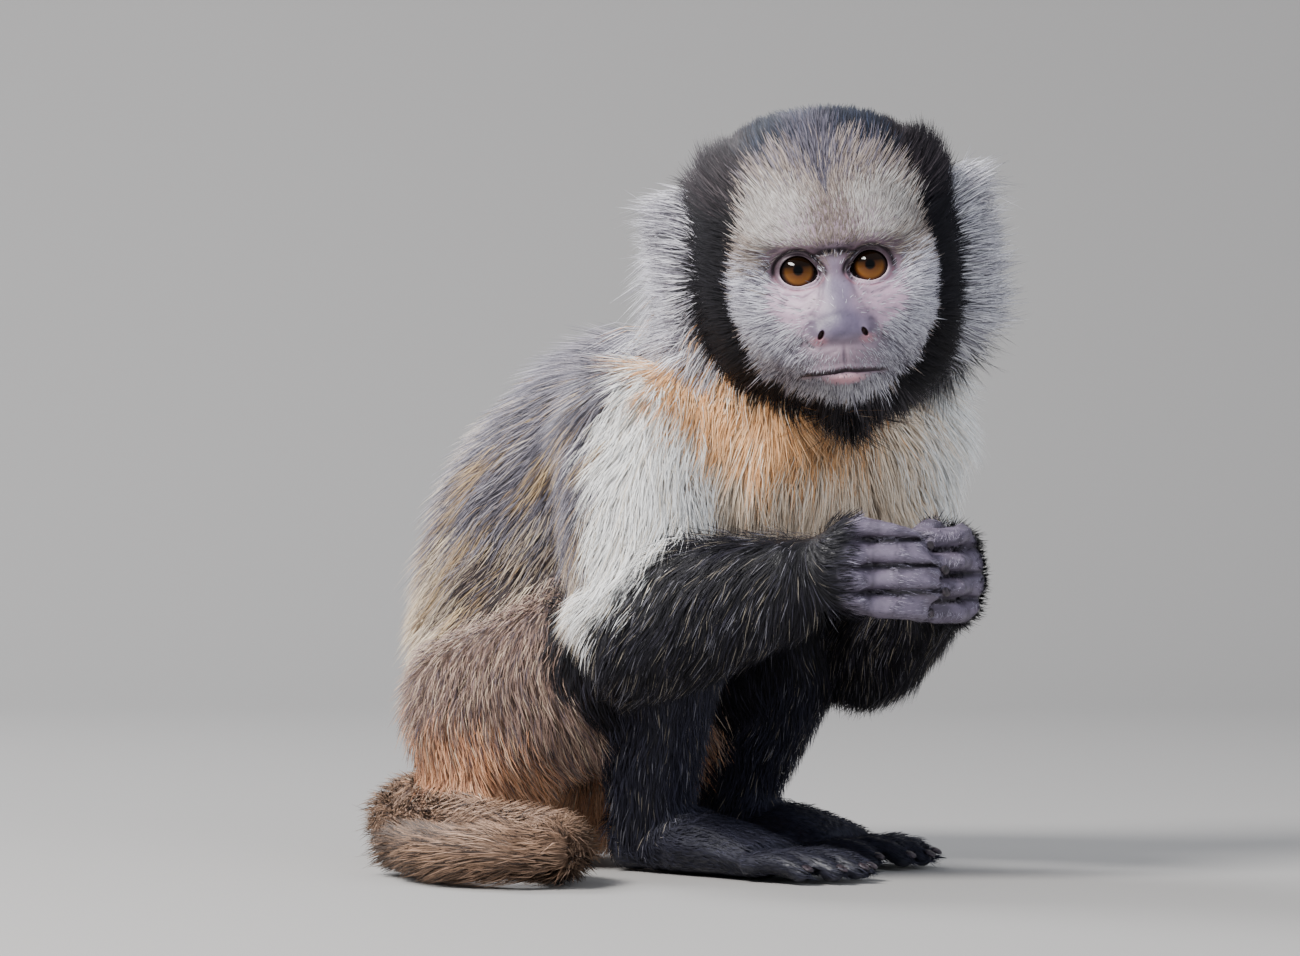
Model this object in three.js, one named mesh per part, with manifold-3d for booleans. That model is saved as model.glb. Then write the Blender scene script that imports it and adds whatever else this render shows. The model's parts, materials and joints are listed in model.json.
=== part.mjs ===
// A capuchin monkey, life size, sitting on the floor with its forearms across its knees, its hands held
// together and its tail curled beside it. Every solid reaches out to the tips of the coat.
// Millimetres, +Z up. The animal faces -Y, and +X is its left. The floor is at Z = 0.
import * as THREE from "three";
import { mergeVertices } from "three/addons/utils/BufferGeometryUtils.js";
import Module from "manifold-3d";

const wasm = await Module();
wasm.setup();

// ---- Driving sizes ----
const GAP = 0.3; // between neighbouring pieces
const FLOOR_REACH = 900; // of the block that trims what would reach below the floor
const PELVIS_TURN = 12; // degrees that each girdle and the head turn from -Y towards the animal's left
const CHEST_TURN = -13;
const HEAD_TURN = -36;
const HEAD_NOD = 4; // degrees downwards
const HEAD_TILT = 5; // degrees towards its right shoulder
const HEAD = { halfWidth: 46.5, crown: 53, chin: 56, front: 41, back: 55, squareness: 2.5 };
const EYE_RADIUS = 8.8;
const EYE = { aside: 12.3, up: -1.5, forward: 32 };
const EAR = { halfWidth: 13.5, halfHeight: 32, halfDepth: 14 };
const FINGER_RADIUS = 4.4;
const TOE_RADIUS = 4.2;
const NAIL = { halfWidth: 2.3, halfThickness: 1.1, halfLength: 3.4 };

const ALONG_X = new THREE.Vector3(1, 0, 0);
const UP = new THREE.Vector3(0, 0, 1);
const point = (x, y, z) => new THREE.Vector3(x, y, z);
const radians = THREE.MathUtils.degToRad;
const mix = THREE.MathUtils.lerp;

// ---- Where the joints are ----
const headCentre = point(12, -62.5, 213.5);
const neckRoot = point(7, -19, 169);
const joints = {
  R: {
    shoulder: point(-30, -19, 157),
    elbow: point(-60, -42, 84),
    wrist: point(-24, -92, 105),
    hip: point(-42, 58, 50),
    knee: point(-31, -34, 90),
    ankle: point(-16, -1, 17),
  },
  L: {
    shoulder: point(57, -41, 160),
    elbow: point(61, -25, 78),
    wrist: point(43, -84, 101),
    hip: point(22, 74, 50),
    knee: point(45, -17, 86),
    ankle: point(50, 36, 17),
  },
};

// ---- Shapes ----
// The animal's left, for something that faces a given number of degrees from -Y.
const leftOf = (turn) => point(Math.cos(radians(turn)), Math.sin(radians(turn)), 0);

// A closed solid from a three.js geometry, each of whose vertices is moved to place(vertex).
function solidOf(geometry, place = (vertex) => vertex) {
  const bare = geometry.clone();
  bare.deleteAttribute("normal");
  bare.deleteAttribute("uv");
  const merged = mergeVertices(bare, 1e-4);
  const corners = merged.index.array;
  const kept = [];
  for (let i = 0; i < corners.length; i += 3) {
    const [a, b, c] = corners.slice(i, i + 3);
    if (a !== b && b !== c && c !== a) kept.push(a, b, c);
  }
  const at = merged.attributes.position;
  const vertex = new THREE.Vector3();
  for (let i = 0; i < at.count; i++) at.setXYZ(i, ...place(vertex.fromBufferAttribute(at, i)));
  return new wasm.Manifold(new wasm.Mesh({ numProp: 3, vertProperties: at.array, triVerts: new Uint32Array(kept) }));
}

// A fleshy length: a capsule bent along a smooth line through its stations. A station has a centre, at, half its
// width across side, and half its depth the other way. Its round ends are as long as capShare says.
function limb(stations, grow, { sides = 14, steps = 6, caps = 2, capShare = 0.8 } = {}) {
  const line = new THREE.CatmullRomCurve3(stations.map((s) => s.at));
  const sizes = new THREE.CatmullRomCurve3(stations.map((s) => point(s.wide, s.deep ?? s.wide, 0)));
  const across = new THREE.CatmullRomCurve3(stations.map((s) => s.side ?? ALONG_X));
  const rings = new Map();
  const ringAt = (t) => {
    if (!rings.has(t)) {
      const tangent = line.getTangent(t);
      const side = across.getPoint(t);
      side.addScaledVector(tangent, -side.dot(tangent)).normalize();
      rings.set(t, { at: line.getPoint(t), size: sizes.getPoint(t), side, tangent });
    }
    return rings.get(t);
  };
  const place = (v) => {
    const t = THREE.MathUtils.clamp(v.y + 0.5, 0, 1);
    const ring = ringAt(Number(t.toFixed(6)));
    const beyond = v.y > 0.5 ? v.y - 0.5 : Math.min(v.y + 0.5, 0);
    const capLength = capShare * Math.min(ring.size.x, ring.size.y) + grow;
    const other = new THREE.Vector3().crossVectors(ring.side, ring.tangent);
    return ring.at
      .clone()
      .addScaledVector(ring.side, v.x * (ring.size.x + grow))
      .addScaledVector(other, v.z * (ring.size.y + grow))
      .addScaledVector(ring.tangent, beyond * capLength);
  };
  return solidOf(new THREE.CapsuleGeometry(1, 1, caps, sides, steps), place);
}

// An ellipsoid whose half sizes lie along the three axes of a frame.
function ellipsoid(at, sizes, axes, grow, sides = 14) {
  const place = (v) =>
    at
      .clone()
      .addScaledVector(axes[0], v.x * (sizes[0] + grow))
      .addScaledVector(axes[1], v.y * (sizes[1] + grow))
      .addScaledVector(axes[2], v.z * (sizes[2] + grow));
  return solidOf(new THREE.SphereGeometry(1, sides, Math.ceil(sides / 2)), place);
}

// ---- The head ----
const headTurned = new THREE.Matrix4()
  .makeRotationZ(radians(HEAD_TURN))
  .multiply(new THREE.Matrix4().makeRotationX(radians(HEAD_NOD)))
  .multiply(new THREE.Matrix4().makeRotationY(radians(-HEAD_TILT)));
const headAxes = [ALONG_X, UP, point(0, -1, 0)].map((a) => a.clone().transformDirection(headTurned));
const onHead = (aside, up, forward) =>
  headCentre
    .clone()
    .addScaledVector(headAxes[0], aside)
    .addScaledVector(headAxes[1], up)
    .addScaledVector(headAxes[2], forward);

// Swellings and hollows of the face, by their angles aside and up from straight ahead, in radians.
const FACE = [
  { name: "muzzle", height: 14.5, up: -0.58, wide: 0.4, tall: 0.4 },
  { name: "nose", height: 2.4, up: -0.33, wide: 0.15, tall: 0.12 },
  { name: "beard", height: 8, up: -1.12, wide: 0.9, tall: 0.24 },
  { name: "brow", height: 2.4, up: 0.26, wide: 0.75, tall: 0.13 },
  { name: "left eye socket", height: -4.2, aside: 0.34, up: 0.01, wide: 0.19, tall: 0.16 },
  { name: "right eye socket", height: -4.2, aside: -0.34, up: 0.01, wide: 0.19, tall: 0.16 },
  { name: "left cheek", height: 3, aside: 0.85, up: -0.35, wide: 0.35, tall: 0.4 },
  { name: "right cheek", height: 3, aside: -0.85, up: -0.35, wide: 0.35, tall: 0.4 },
];
const MERIDIANS_DRAWN_TO_FACE = 0.4;

function headRadius(direction) {
  const aside = Math.atan2(direction.x, direction.z);
  const up = Math.asin(THREE.MathUtils.clamp(direction.y, -1, 1));
  const shares = [
    direction.x / HEAD.halfWidth,
    direction.y / (direction.y > 0 ? HEAD.crown : HEAD.chin),
    direction.z / (direction.z > 0 ? HEAD.front : HEAD.back),
  ];
  const sum = shares.reduce((s, share) => s + Math.abs(share) ** HEAD.squareness, 0);
  const swell = ({ height, aside: centre = 0, up: level, wide, tall }) =>
    height * Math.exp(-(((aside - centre) / wide) ** 2) - ((up - level) / tall) ** 2);
  return sum ** (-1 / HEAD.squareness) + FACE.reduce((s, f) => s + swell(f), 0);
}

function head(grow) {
  const place = (v) => {
    const turn = Math.atan2(v.x, v.z);
    const drawn = turn - MERIDIANS_DRAWN_TO_FACE * Math.sin(turn);
    const level = Math.hypot(v.x, v.z);
    const direction = point(level * Math.sin(drawn), v.y, level * Math.cos(drawn));
    const radius = headRadius(direction) + grow;
    return onHead(direction.x * radius, direction.y * radius, direction.z * radius);
  };
  return solidOf(new THREE.SphereGeometry(1, 22, 17), place);
}

const eye = (sign) => (grow) =>
  ellipsoid(onHead(sign * EYE.aside, EYE.up, EYE.forward), [EYE_RADIUS, EYE_RADIUS, EYE_RADIUS], headAxes, grow, 10);

const ear = (sign) => (grow) => {
  const at = onHead(sign * (HEAD.halfWidth - 1), -3, -9);
  return ellipsoid(at, [EAR.halfWidth, EAR.halfHeight, EAR.halfDepth], headAxes, grow, 10);
};

// ---- Hands and feet ----
// The line of a digit that bends towards the palm, away from its back. Lengths are of its bones.
function digitStations({ base, along, back, lengths, bends, radius, taper = 0.85 }) {
  const dir = along.clone().normalize();
  const top = back.clone().addScaledVector(dir, -back.dot(dir)).normalize();
  const stations = [{ at: base.clone(), wide: radius }];
  lengths.forEach((length, i) => {
    const bend = radians(bends[i]);
    const bent = dir.clone().multiplyScalar(Math.cos(bend)).addScaledVector(top, -Math.sin(bend));
    top.multiplyScalar(Math.cos(bend)).addScaledVector(dir, Math.sin(bend));
    dir.copy(bent);
    const share = mix(1, taper, (i + 1) / lengths.length);
    stations.push({ at: stations[i].at.clone().addScaledVector(dir, length), wide: radius * share });
  });
  const side = new THREE.Vector3().crossVectors(top, dir);
  stations.forEach((s) => (s.side = side));
  return { stations, dir, top, side, tip: stations.at(-1) };
}

const digit = (spec) => (grow) =>
  limb(digitStations(spec).stations, grow, { sides: 6, steps: 3, caps: 1, capShare: 0.9 });

// A nail lies on the back of the digit's end.
const nail = (spec) => (grow) => {
  const { dir, top, side, tip } = digitStations(spec);
  const at = tip.at.clone().addScaledVector(top, tip.wide * 0.82).addScaledVector(dir, tip.wide * 0.35);
  return ellipsoid(at, [NAIL.halfWidth, NAIL.halfThickness, NAIL.halfLength], [side, top, dir], grow, 6);
};

// Four digits side by side across the end of a palm or sole, spread like a fan.
function fan({ end, along, back, across, spacing, spread, lengths, bends, radius, reach }) {
  return lengths.map((bones, i) => {
    const place = i - (lengths.length - 1) / 2;
    return {
      base: end.clone().addScaledVector(across, place * spacing).addScaledVector(along, -reach * place * place),
      along: along.clone().addScaledVector(across, place * spread),
      back,
      lengths: bones,
      bends: bends[i] ?? bends[0],
      radius,
    };
  });
}

// The right hand lies back outwards with its thumb up. Its fingers cross in front of the left hand's.
const rightHand = {
  palm: [
    { at: joints.R.wrist.clone(), wide: 18, deep: 13 },
    { at: point(-19, -99, 107), wide: 19, deep: 10.5 },
    { at: point(-12, -106, 109), wide: 18.5, deep: 8.5 },
  ],
  side: point(0.05, 0, 1),
};
const rightFingers = fan({
  end: point(-11.5, -106.5, 109),
  along: point(0.75, -0.62, -0.12).normalize(),
  back: point(-0.62, -0.75, 0.15).normalize(),
  across: point(0.02, 0.02, -1).normalize(),
  spacing: 9,
  spread: -0.05,
  lengths: [[13, 9, 7], [14, 10, 8], [14, 10, 8], [13, 9, 7]],
  bends: [[4, 22, 36], [3, 20, 34], [3, 20, 34], [4, 24, 38]],
  radius: FINGER_RADIUS,
  reach: 0.8,
});
const rightThumb = {
  base: point(-15, -94, 121),
  along: point(0.86, -0.25, 0.1),
  back: point(-0.1, -0.5, 0.9),
  lengths: [11, 9, 7],
  bends: [8, 16, 22],
  radius: FINGER_RADIUS + 0.2,
};
const leftHand = {
  palm: [
    { at: joints.L.wrist.clone(), wide: 18, deep: 13 },
    { at: point(40.5, -96.5, 104), wide: 18.5, deep: 11 },
    { at: point(36.5, -105.5, 105.5), wide: 17.5, deep: 9 },
  ],
  side: point(0, 0, 1),
};
const leftFingers = fan({
  end: point(36, -106.5, 105.5),
  along: point(-0.6, -0.8, 0).normalize(),
  back: point(0.8, -0.6, 0.05).normalize(),
  across: point(0, 0, -1),
  spacing: 8.8,
  spread: -0.02,
  lengths: [[12, 10, 8], [13, 11, 8], [13, 11, 8], [11, 9, 7]],
  bends: [[14, 66, 52], [12, 66, 54], [12, 66, 54], [16, 68, 52]],
  radius: FINGER_RADIUS,
  reach: 0.8,
});
const leftThumb = {
  base: point(32.5, -95.5, 121),
  along: point(-0.75, -0.62, 0.1),
  back: point(0.2, -0.4, 0.9),
  lengths: [11, 9, 8],
  bends: [10, 20, 25],
  radius: FINGER_RADIUS + 0.2,
};

// A foot lies flat: heel, sole and ball, four toes, and a great toe that stands apart.
function footSpec(ankle, turn, sign) {
  const forward = leftOf(turn - 90);
  const across = leftOf(turn).multiplyScalar(sign); // from the great toe's side outwards
  const onFoot = (ahead, out, up) =>
    point(ankle.x, ankle.y, 0).addScaledVector(forward, ahead).addScaledVector(across, out).setZ(up);
  const sole = [
    { at: onFoot(-9, 0, 10.5), wide: 11.5, deep: 11.5, side: across },
    { at: onFoot(14, 1, 11.5), wide: 12, deep: 12, side: across },
    { at: onFoot(40, 2, 9.5), wide: 14.5, deep: 10, side: across },
    { at: onFoot(57, 3, 7), wide: 16.5, deep: 7.2, side: across },
  ];
  const toes = fan({
    end: onFoot(61, 3.5, 6),
    along: forward.clone().addScaledVector(UP, 0.1),
    back: UP.clone(),
    across,
    spacing: 8.6,
    spread: 0.05,
    lengths: [[13, 10, 8], [15, 11, 8], [14, 11, 8], [12, 9, 7]],
    bends: [[-2, 14, 16]],
    radius: TOE_RADIUS,
    reach: 1,
  });
  const greatToe = {
    base: onFoot(34, -9, 6.5),
    along: forward.clone().addScaledVector(across, -0.75),
    back: UP.clone(),
    lengths: [12, 11, 9],
    bends: [0, 8, 10],
    radius: TOE_RADIUS + 0.7,
  };
  return { sole, digits: [...toes, greatToe] };
}
const feet = {
  R: footSpec(joints.R.ankle, 9, -1),
  L: footSpec(joints.L.ankle, 3, 1),
};

// A palm or sole with its digits, as one piece.
const paw = (stations, digits) => (grow) =>
  digits.reduce((whole, spec) => whole.add(digit(spec)(grow)), limb(stations, grow, { sides: 8, steps: 3, caps: 1 }));
const handStations = ({ palm, side }) => palm.map((s) => ({ ...s, side }));

// ---- The tail: round the right haunch along the floor, then back on itself in a loop ----
const TAIL_ROOT_RADIUS = 18;
const TAIL_TIP_RADIUS = 11;
const TAIL_LENGTHS = 5; // pieces
const TAIL_PRESSED = 1.4; // into the floor, where its coat lies flat
const TAIL_ROOT_RISE = 13;
const TAIL_RISES_WITHIN = 0.22; // of its length
const tailLine = new THREE.CatmullRomCurve3(
  [
    [2, 66],
    [-5, 90],
    [-25, 104],
    [-48, 93],
    [-64, 63],
    [-72, 34],
    [-75, 8],
    [-78, -22],
    [-88, -42],
    [-104, -42],
    [-114, -24],
    [-112, 0],
    [-102, 20],
    [-97, 37],
  ].map(([x, y]) => point(x, y, 0)),
);
const tailStation = (share) => {
  const wide = mix(TAIL_ROOT_RADIUS, TAIL_TIP_RADIUS, share ** 1.2);
  const rise = TAIL_ROOT_RISE * Math.max(0, 1 - share / TAIL_RISES_WITHIN) ** 1.5;
  return { at: tailLine.getPointAt(share).setZ(wide - TAIL_PRESSED + rise), wide, side: UP };
};
const tailPiece = (index) => (grow) => {
  const [from, to] = [index / TAIL_LENGTHS, (index + 1) / TAIL_LENGTHS];
  const stations = [0, 1, 2, 3, 4].map((i) => tailStation(mix(from, to, i / 4)));
  const last = index === TAIL_LENGTHS - 1;
  return limb(stations, grow, { sides: 9, steps: 4, caps: last ? 2 : 1, capShare: last ? 0.9 : 0.4 });
};

// ---- Trunk, neck and limbs ----
const pelvisSide = leftOf(PELVIS_TURN);
const waistSide = leftOf((PELVIS_TURN + CHEST_TURN) / 2);
const chestSide = leftOf(CHEST_TURN);
const trunkStations = [
  { at: point(-8, 64, 20), wide: 35, deep: 34, side: pelvisSide },
  { at: point(-9, 67, 45), wide: 46, deep: 44, side: pelvisSide },
  { at: point(-9, 68, 74), wide: 50, deep: 49, side: pelvisSide },
  { at: point(-8, 58, 108), wide: 51, deep: 51, side: waistSide },
  { at: point(-5, 35, 138), wide: 50, deep: 46.5, side: waistSide },
  { at: point(1, 3, 154), wide: 49, deep: 42, side: chestSide },
  { at: point(7, -28, 152), wide: 47, deep: 41, side: chestSide },
  { at: point(9, -46, 146), wide: 42, deep: 37, side: chestSide },
];
const trunkPiece = (from, to) => (grow) =>
  limb(trunkStations.slice(from, to + 1), grow, { sides: 13, steps: to - from + 1, caps: 2, capShare: 0.7 });

const neck = (grow) =>
  limb(
    [
      { at: neckRoot, wide: 38, deep: 34, side: chestSide },
      { at: point(14, -32, 186), wide: 50, deep: 42, side: leftOf(-26) },
      { at: point(19, -43, 202), wide: 54, deep: 42, side: leftOf(HEAD_TURN) },
    ],
    grow,
    { sides: 11, steps: 3, caps: 1, capShare: 0.35 },
  );

const between = (a, b, share) => a.clone().lerp(b, share);
const upperArm = ({ shoulder, elbow }, side) => (grow) =>
  limb(
    [
      { at: shoulder, wide: 34, deep: 33, side },
      { at: between(shoulder, elbow, 0.5), wide: 30, deep: 29, side },
      { at: between(shoulder, elbow, 0.9), wide: 21, deep: 21, side },
    ],
    grow,
    { sides: 10, steps: 3, caps: 2, capShare: 0.8 },
  );
const forearm = ({ elbow, wrist }) => (grow) =>
  limb(
    [
      { at: between(elbow, wrist, -0.06), wide: 26, deep: 24, side: UP },
      { at: between(elbow, wrist, 0.35).add(point(0, 0, 3)), wide: 29, deep: 22, side: UP },
      { at: between(elbow, wrist, 0.72).add(point(0, 0, 1)), wide: 24, deep: 18, side: UP },
      { at: wrist, wide: 20, deep: 15, side: UP },
    ],
    grow,
    { sides: 10, steps: 4, caps: 2, capShare: 0.6 },
  );
const thigh = ({ hip, knee }) => (grow) =>
  limb(
    [
      { at: hip, wide: 37, deep: 43, side: ALONG_X },
      { at: between(hip, knee, 0.5).add(point(0, 0, 2)), wide: 31, deep: 37, side: ALONG_X },
      { at: knee, wide: 23, deep: 25, side: ALONG_X },
    ],
    grow,
    { sides: 10, steps: 3, caps: 2, capShare: 0.8 },
  );
const shank = ({ knee, ankle }) => (grow) =>
  limb(
    [
      { at: knee, wide: 22, deep: 24, side: ALONG_X },
      { at: between(knee, ankle, 0.45).add(point(0, 4, 0)), wide: 22, deep: 23, side: ALONG_X },
      { at: ankle, wide: 17, deep: 17, side: ALONG_X },
    ],
    grow,
    { sides: 10, steps: 3, caps: 2, capShare: 0.6 },
  );

// ---- The pieces, in the order in which they keep their shape: each is cut back from all before it ----
const COAT = {
  brown: [0x7d6248, 0.9],
  cream: [0xe2cfae, 0.9],
  black: [0x2a2526, 0.88],
  head: [0xb9a894, 0.85],
  grey: [0xc8c4c2, 0.9],
  skin: [0x5a4f5c, 0.6],
  eye: [0x6b3a12, 0.12],
  nail: [0x2c2426, 0.4],
};
const handDigits = { R: [...rightFingers, rightThumb], L: [...leftFingers, leftThumb] };
const hands = { R: handStations(rightHand), L: handStations(leftHand) };
const pieces = [];
const piece = (name, finish, make) => pieces.push({ name, finish, make });

for (const side of ["R", "L"]) {
  handDigits[side].forEach((spec, i) => piece(`fingernail_${side}_${i + 1}`, COAT.nail, nail(spec)));
  feet[side].digits.forEach((spec, i) => piece(`toenail_${side}_${i + 1}`, COAT.nail, nail(spec)));
}
piece("eye_L", COAT.eye, eye(1));
piece("eye_R", COAT.eye, eye(-1));
piece("ear_L", COAT.grey, ear(1));
piece("ear_R", COAT.grey, ear(-1));
piece("head", COAT.head, head);
for (const side of ["R", "L"]) piece(`hand_${side}`, COAT.skin, paw(hands[side], handDigits[side]));
for (const side of ["R", "L"]) piece(`forearm_${side}`, COAT.black, forearm(joints[side]));
for (const side of ["R", "L"]) piece(`foot_${side}`, COAT.skin, paw(feet[side].sole, feet[side].digits));
for (const side of ["R", "L"]) piece(`shank_${side}`, COAT.black, shank(joints[side]));
for (const side of ["R", "L"]) piece(`thigh_${side}`, COAT.brown, thigh(joints[side]));
for (const side of ["R", "L"]) piece(`upper_arm_${side}`, COAT.cream, upperArm(joints[side], chestSide));
piece("neck", COAT.cream, neck);
piece("trunk_chest", COAT.brown, trunkPiece(5, 7));
piece("trunk_back", COAT.brown, trunkPiece(3, 5));
piece("trunk_rump", COAT.brown, trunkPiece(0, 3));
for (let i = 0; i < TAIL_LENGTHS; i++) piece(`tail_${i + 1}`, COAT.brown, tailPiece(i));

// ---- Cut the pieces clear of each other and of the floor ----
const belowFloor = solidOf(
  new THREE.BoxGeometry(FLOOR_REACH, FLOOR_REACH, FLOOR_REACH).translate(0, 0, -FLOOR_REACH / 2),
);
const boxOf = (solid) => {
  const { min, max } = solid.boundingBox();
  return new THREE.Box3(point(...min), point(...max));
};
const made = [];
for (const { name, finish, make } of pieces) {
  let solid = make(0).subtract(belowFloor);
  for (const earlier of made)
    if (boxOf(solid).intersectsBox(earlier.reach)) solid = solid.subtract(earlier.grown);
  const largest = solid.decompose().sort((a, b) => b.volume() - a.volume())[0];
  const grown = make(GAP);
  made.push({ name, finish, solid: largest, grown, reach: boxOf(grown) });
}

// ---- The model, with its origin at the middle of its footprint box ----
const whole = new THREE.Box3();
made.forEach(({ solid }) => whole.union(boxOf(solid)));
const middle = whole.getCenter(new THREE.Vector3());

const monkey = new THREE.Group();
for (const { name, finish, solid } of made) {
  const { numProp, vertProperties, triVerts } = solid.getMesh();
  const places = new THREE.InterleavedBuffer(vertProperties, numProp);
  const geometry = new THREE.BufferGeometry()
    .setAttribute("position", new THREE.InterleavedBufferAttribute(places, 3, 0))
    .setIndex(new THREE.BufferAttribute(triVerts, 1))
    .toNonIndexed();
  geometry.computeVertexNormals();
  const [color, roughness] = finish;
  const mesh = new THREE.Mesh(geometry, new THREE.MeshStandardMaterial({ color, roughness, metalness: 0 }));
  mesh.name = name;
  monkey.add(mesh);
}
monkey.position.set(-middle.x, -middle.y, 0);

export default monkey;
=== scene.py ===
# %% [markdown]
# # A capuchin monkey, life size
# A museum model of a yellow-breasted capuchin that sits with its hands together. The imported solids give
# its pose, its sizes and its outline out to the tips of the coat. This script makes the surface: first
# one bare skin, then the eyes and nails, then the coat.
#
# Blender can grow fur as hair curves, or it can be modelled as many small closed meshes. Meshes are used
# here, because they keep their shape in every program that opens the model.

# %% Load the solids
import json
import math

import bpy
import numpy as np
from mathutils import Matrix, Vector

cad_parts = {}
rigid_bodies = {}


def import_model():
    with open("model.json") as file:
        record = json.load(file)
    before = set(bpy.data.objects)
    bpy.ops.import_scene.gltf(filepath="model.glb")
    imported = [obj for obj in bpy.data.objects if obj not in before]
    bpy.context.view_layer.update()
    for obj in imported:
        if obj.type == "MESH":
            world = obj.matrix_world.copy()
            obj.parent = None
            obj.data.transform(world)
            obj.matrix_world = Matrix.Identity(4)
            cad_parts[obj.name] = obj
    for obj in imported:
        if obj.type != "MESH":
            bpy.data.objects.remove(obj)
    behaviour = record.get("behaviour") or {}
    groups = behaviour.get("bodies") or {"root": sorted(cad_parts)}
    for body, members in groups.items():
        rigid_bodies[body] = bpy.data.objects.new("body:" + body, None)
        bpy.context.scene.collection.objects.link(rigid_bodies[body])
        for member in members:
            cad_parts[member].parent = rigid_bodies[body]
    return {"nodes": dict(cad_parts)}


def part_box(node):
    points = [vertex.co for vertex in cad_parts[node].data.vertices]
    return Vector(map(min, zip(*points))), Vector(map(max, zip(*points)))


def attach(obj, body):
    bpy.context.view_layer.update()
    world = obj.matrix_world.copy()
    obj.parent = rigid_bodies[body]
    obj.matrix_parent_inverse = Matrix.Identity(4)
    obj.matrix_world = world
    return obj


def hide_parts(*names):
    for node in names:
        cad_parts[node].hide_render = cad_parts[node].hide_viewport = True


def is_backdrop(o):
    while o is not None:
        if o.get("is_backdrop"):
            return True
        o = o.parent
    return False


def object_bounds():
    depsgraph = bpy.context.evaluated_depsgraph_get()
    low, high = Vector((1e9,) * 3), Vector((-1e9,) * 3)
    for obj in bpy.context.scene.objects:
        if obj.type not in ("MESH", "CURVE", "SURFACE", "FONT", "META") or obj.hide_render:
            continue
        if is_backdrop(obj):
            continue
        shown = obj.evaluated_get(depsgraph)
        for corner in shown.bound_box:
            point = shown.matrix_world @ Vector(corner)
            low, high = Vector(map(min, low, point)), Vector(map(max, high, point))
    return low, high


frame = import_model()
solid_low, solid_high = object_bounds()
MM = 0.001
print("solids:", len(frame["nodes"]), "nodes, from", solid_low, "to", solid_high)

# %% [markdown]
# ## Landmarks
# A taxidermist starts from a measured armature. Ours is a short table of lines, one through each limb,
# with the half thickness at each of its points. They are in the animal's own millimetres, and the eyes,
# which the solids place exactly, say where those lie in the frame.

# %% The head's own axes and the animal's own millimetres
HEAD_TURN, HEAD_NOD, HEAD_TILT = -36, 4, 5  # degrees from facing -Y, downwards, and to its right
EYE_ASIDE, EYE_UP, EYE_FORWARD, EYE_RADIUS = 12.3, -1.5, 32, 8.8
OWN_HEAD_CENTRE = (12, -62.5, 213.5)


def turned(degrees, axis):
    return Matrix.Rotation(math.radians(degrees), 3, axis)


head_turned = np.array(turned(HEAD_TURN, "Z") @ turned(HEAD_NOD, "X") @ turned(-HEAD_TILT, "Y"))
head_axes = np.array([head_turned[:, 0], head_turned[:, 2], -head_turned[:, 1]])  # aside, up, forward


def middle_of(node):
    low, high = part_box(node)
    return np.array((low + high) / 2)


eyes_middle = (middle_of("eye_L") + middle_of("eye_R")) / 2
head_centre = eyes_middle - (EYE_UP * head_axes[1] + EYE_FORWARD * head_axes[2]) * MM
own_origin = head_centre - np.array(OWN_HEAD_CENTRE) * MM


def own(*point):
    """A place in the frame, in metres, from the animal's own millimetres."""
    return np.array(point) * MM + own_origin


def on_head(points):
    """Places as millimetres to the head's left, up and forward of its centre."""
    return (points - head_centre) @ head_axes.T / MM


def off_head(local):
    return local @ head_axes * MM + head_centre


print("head centre:", head_centre)

# %% The armature
JOINTS = {
    "R": dict(shoulder=(-30, -19, 157), elbow=(-60, -42, 84), wrist=(-24, -92, 105),
              hip=(-42, 58, 50), knee=(-31, -34, 90), ankle=(-16, -1, 17)),
    "L": dict(shoulder=(57, -41, 160), elbow=(61, -25, 78), wrist=(43, -84, 101),
              hip=(22, 74, 50), knee=(45, -17, 86), ankle=(50, 36, 17)),
}
EAR_ASIDE, EAR_UP, EAR_FORWARD, EAR_HALF_HEIGHT = 45.5, -3, -9, 18
PALM = {"R": [(-19, -99, 107), (-12, -106, 109), (10, -122, 107)],
        "L": [(40.5, -96.5, 104), (36.5, -105.5, 105.5), (27, -119, 106)]}
FOOT_TURN = {"R": 9, "L": 3}
FOOT_STATIONS = [(-9, 10.5, 11.5), (14, 11.5, 12), (40, 9.5, 12), (57, 7, 11), (92, 5, 6)]
TAIL_PLAN = [(2, 66), (-5, 90), (-25, 104), (-48, 93), (-64, 63), (-72, 34), (-75, 8), (-78, -22),
             (-88, -42), (-104, -42), (-114, -24), (-112, 0), (-102, 20), (-97, 37)]
TAIL_RADII = (18, 11)
limbs = {}


def limb(name, points, radii):
    limbs[name] = (np.array([own(*p) for p in points]), np.array(radii, float) * MM)


def part_way(a, b, share, rise=0):
    return tuple(np.array(a) * (1 - share) + np.array(b) * share + np.array((0, 0, rise)))


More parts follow.
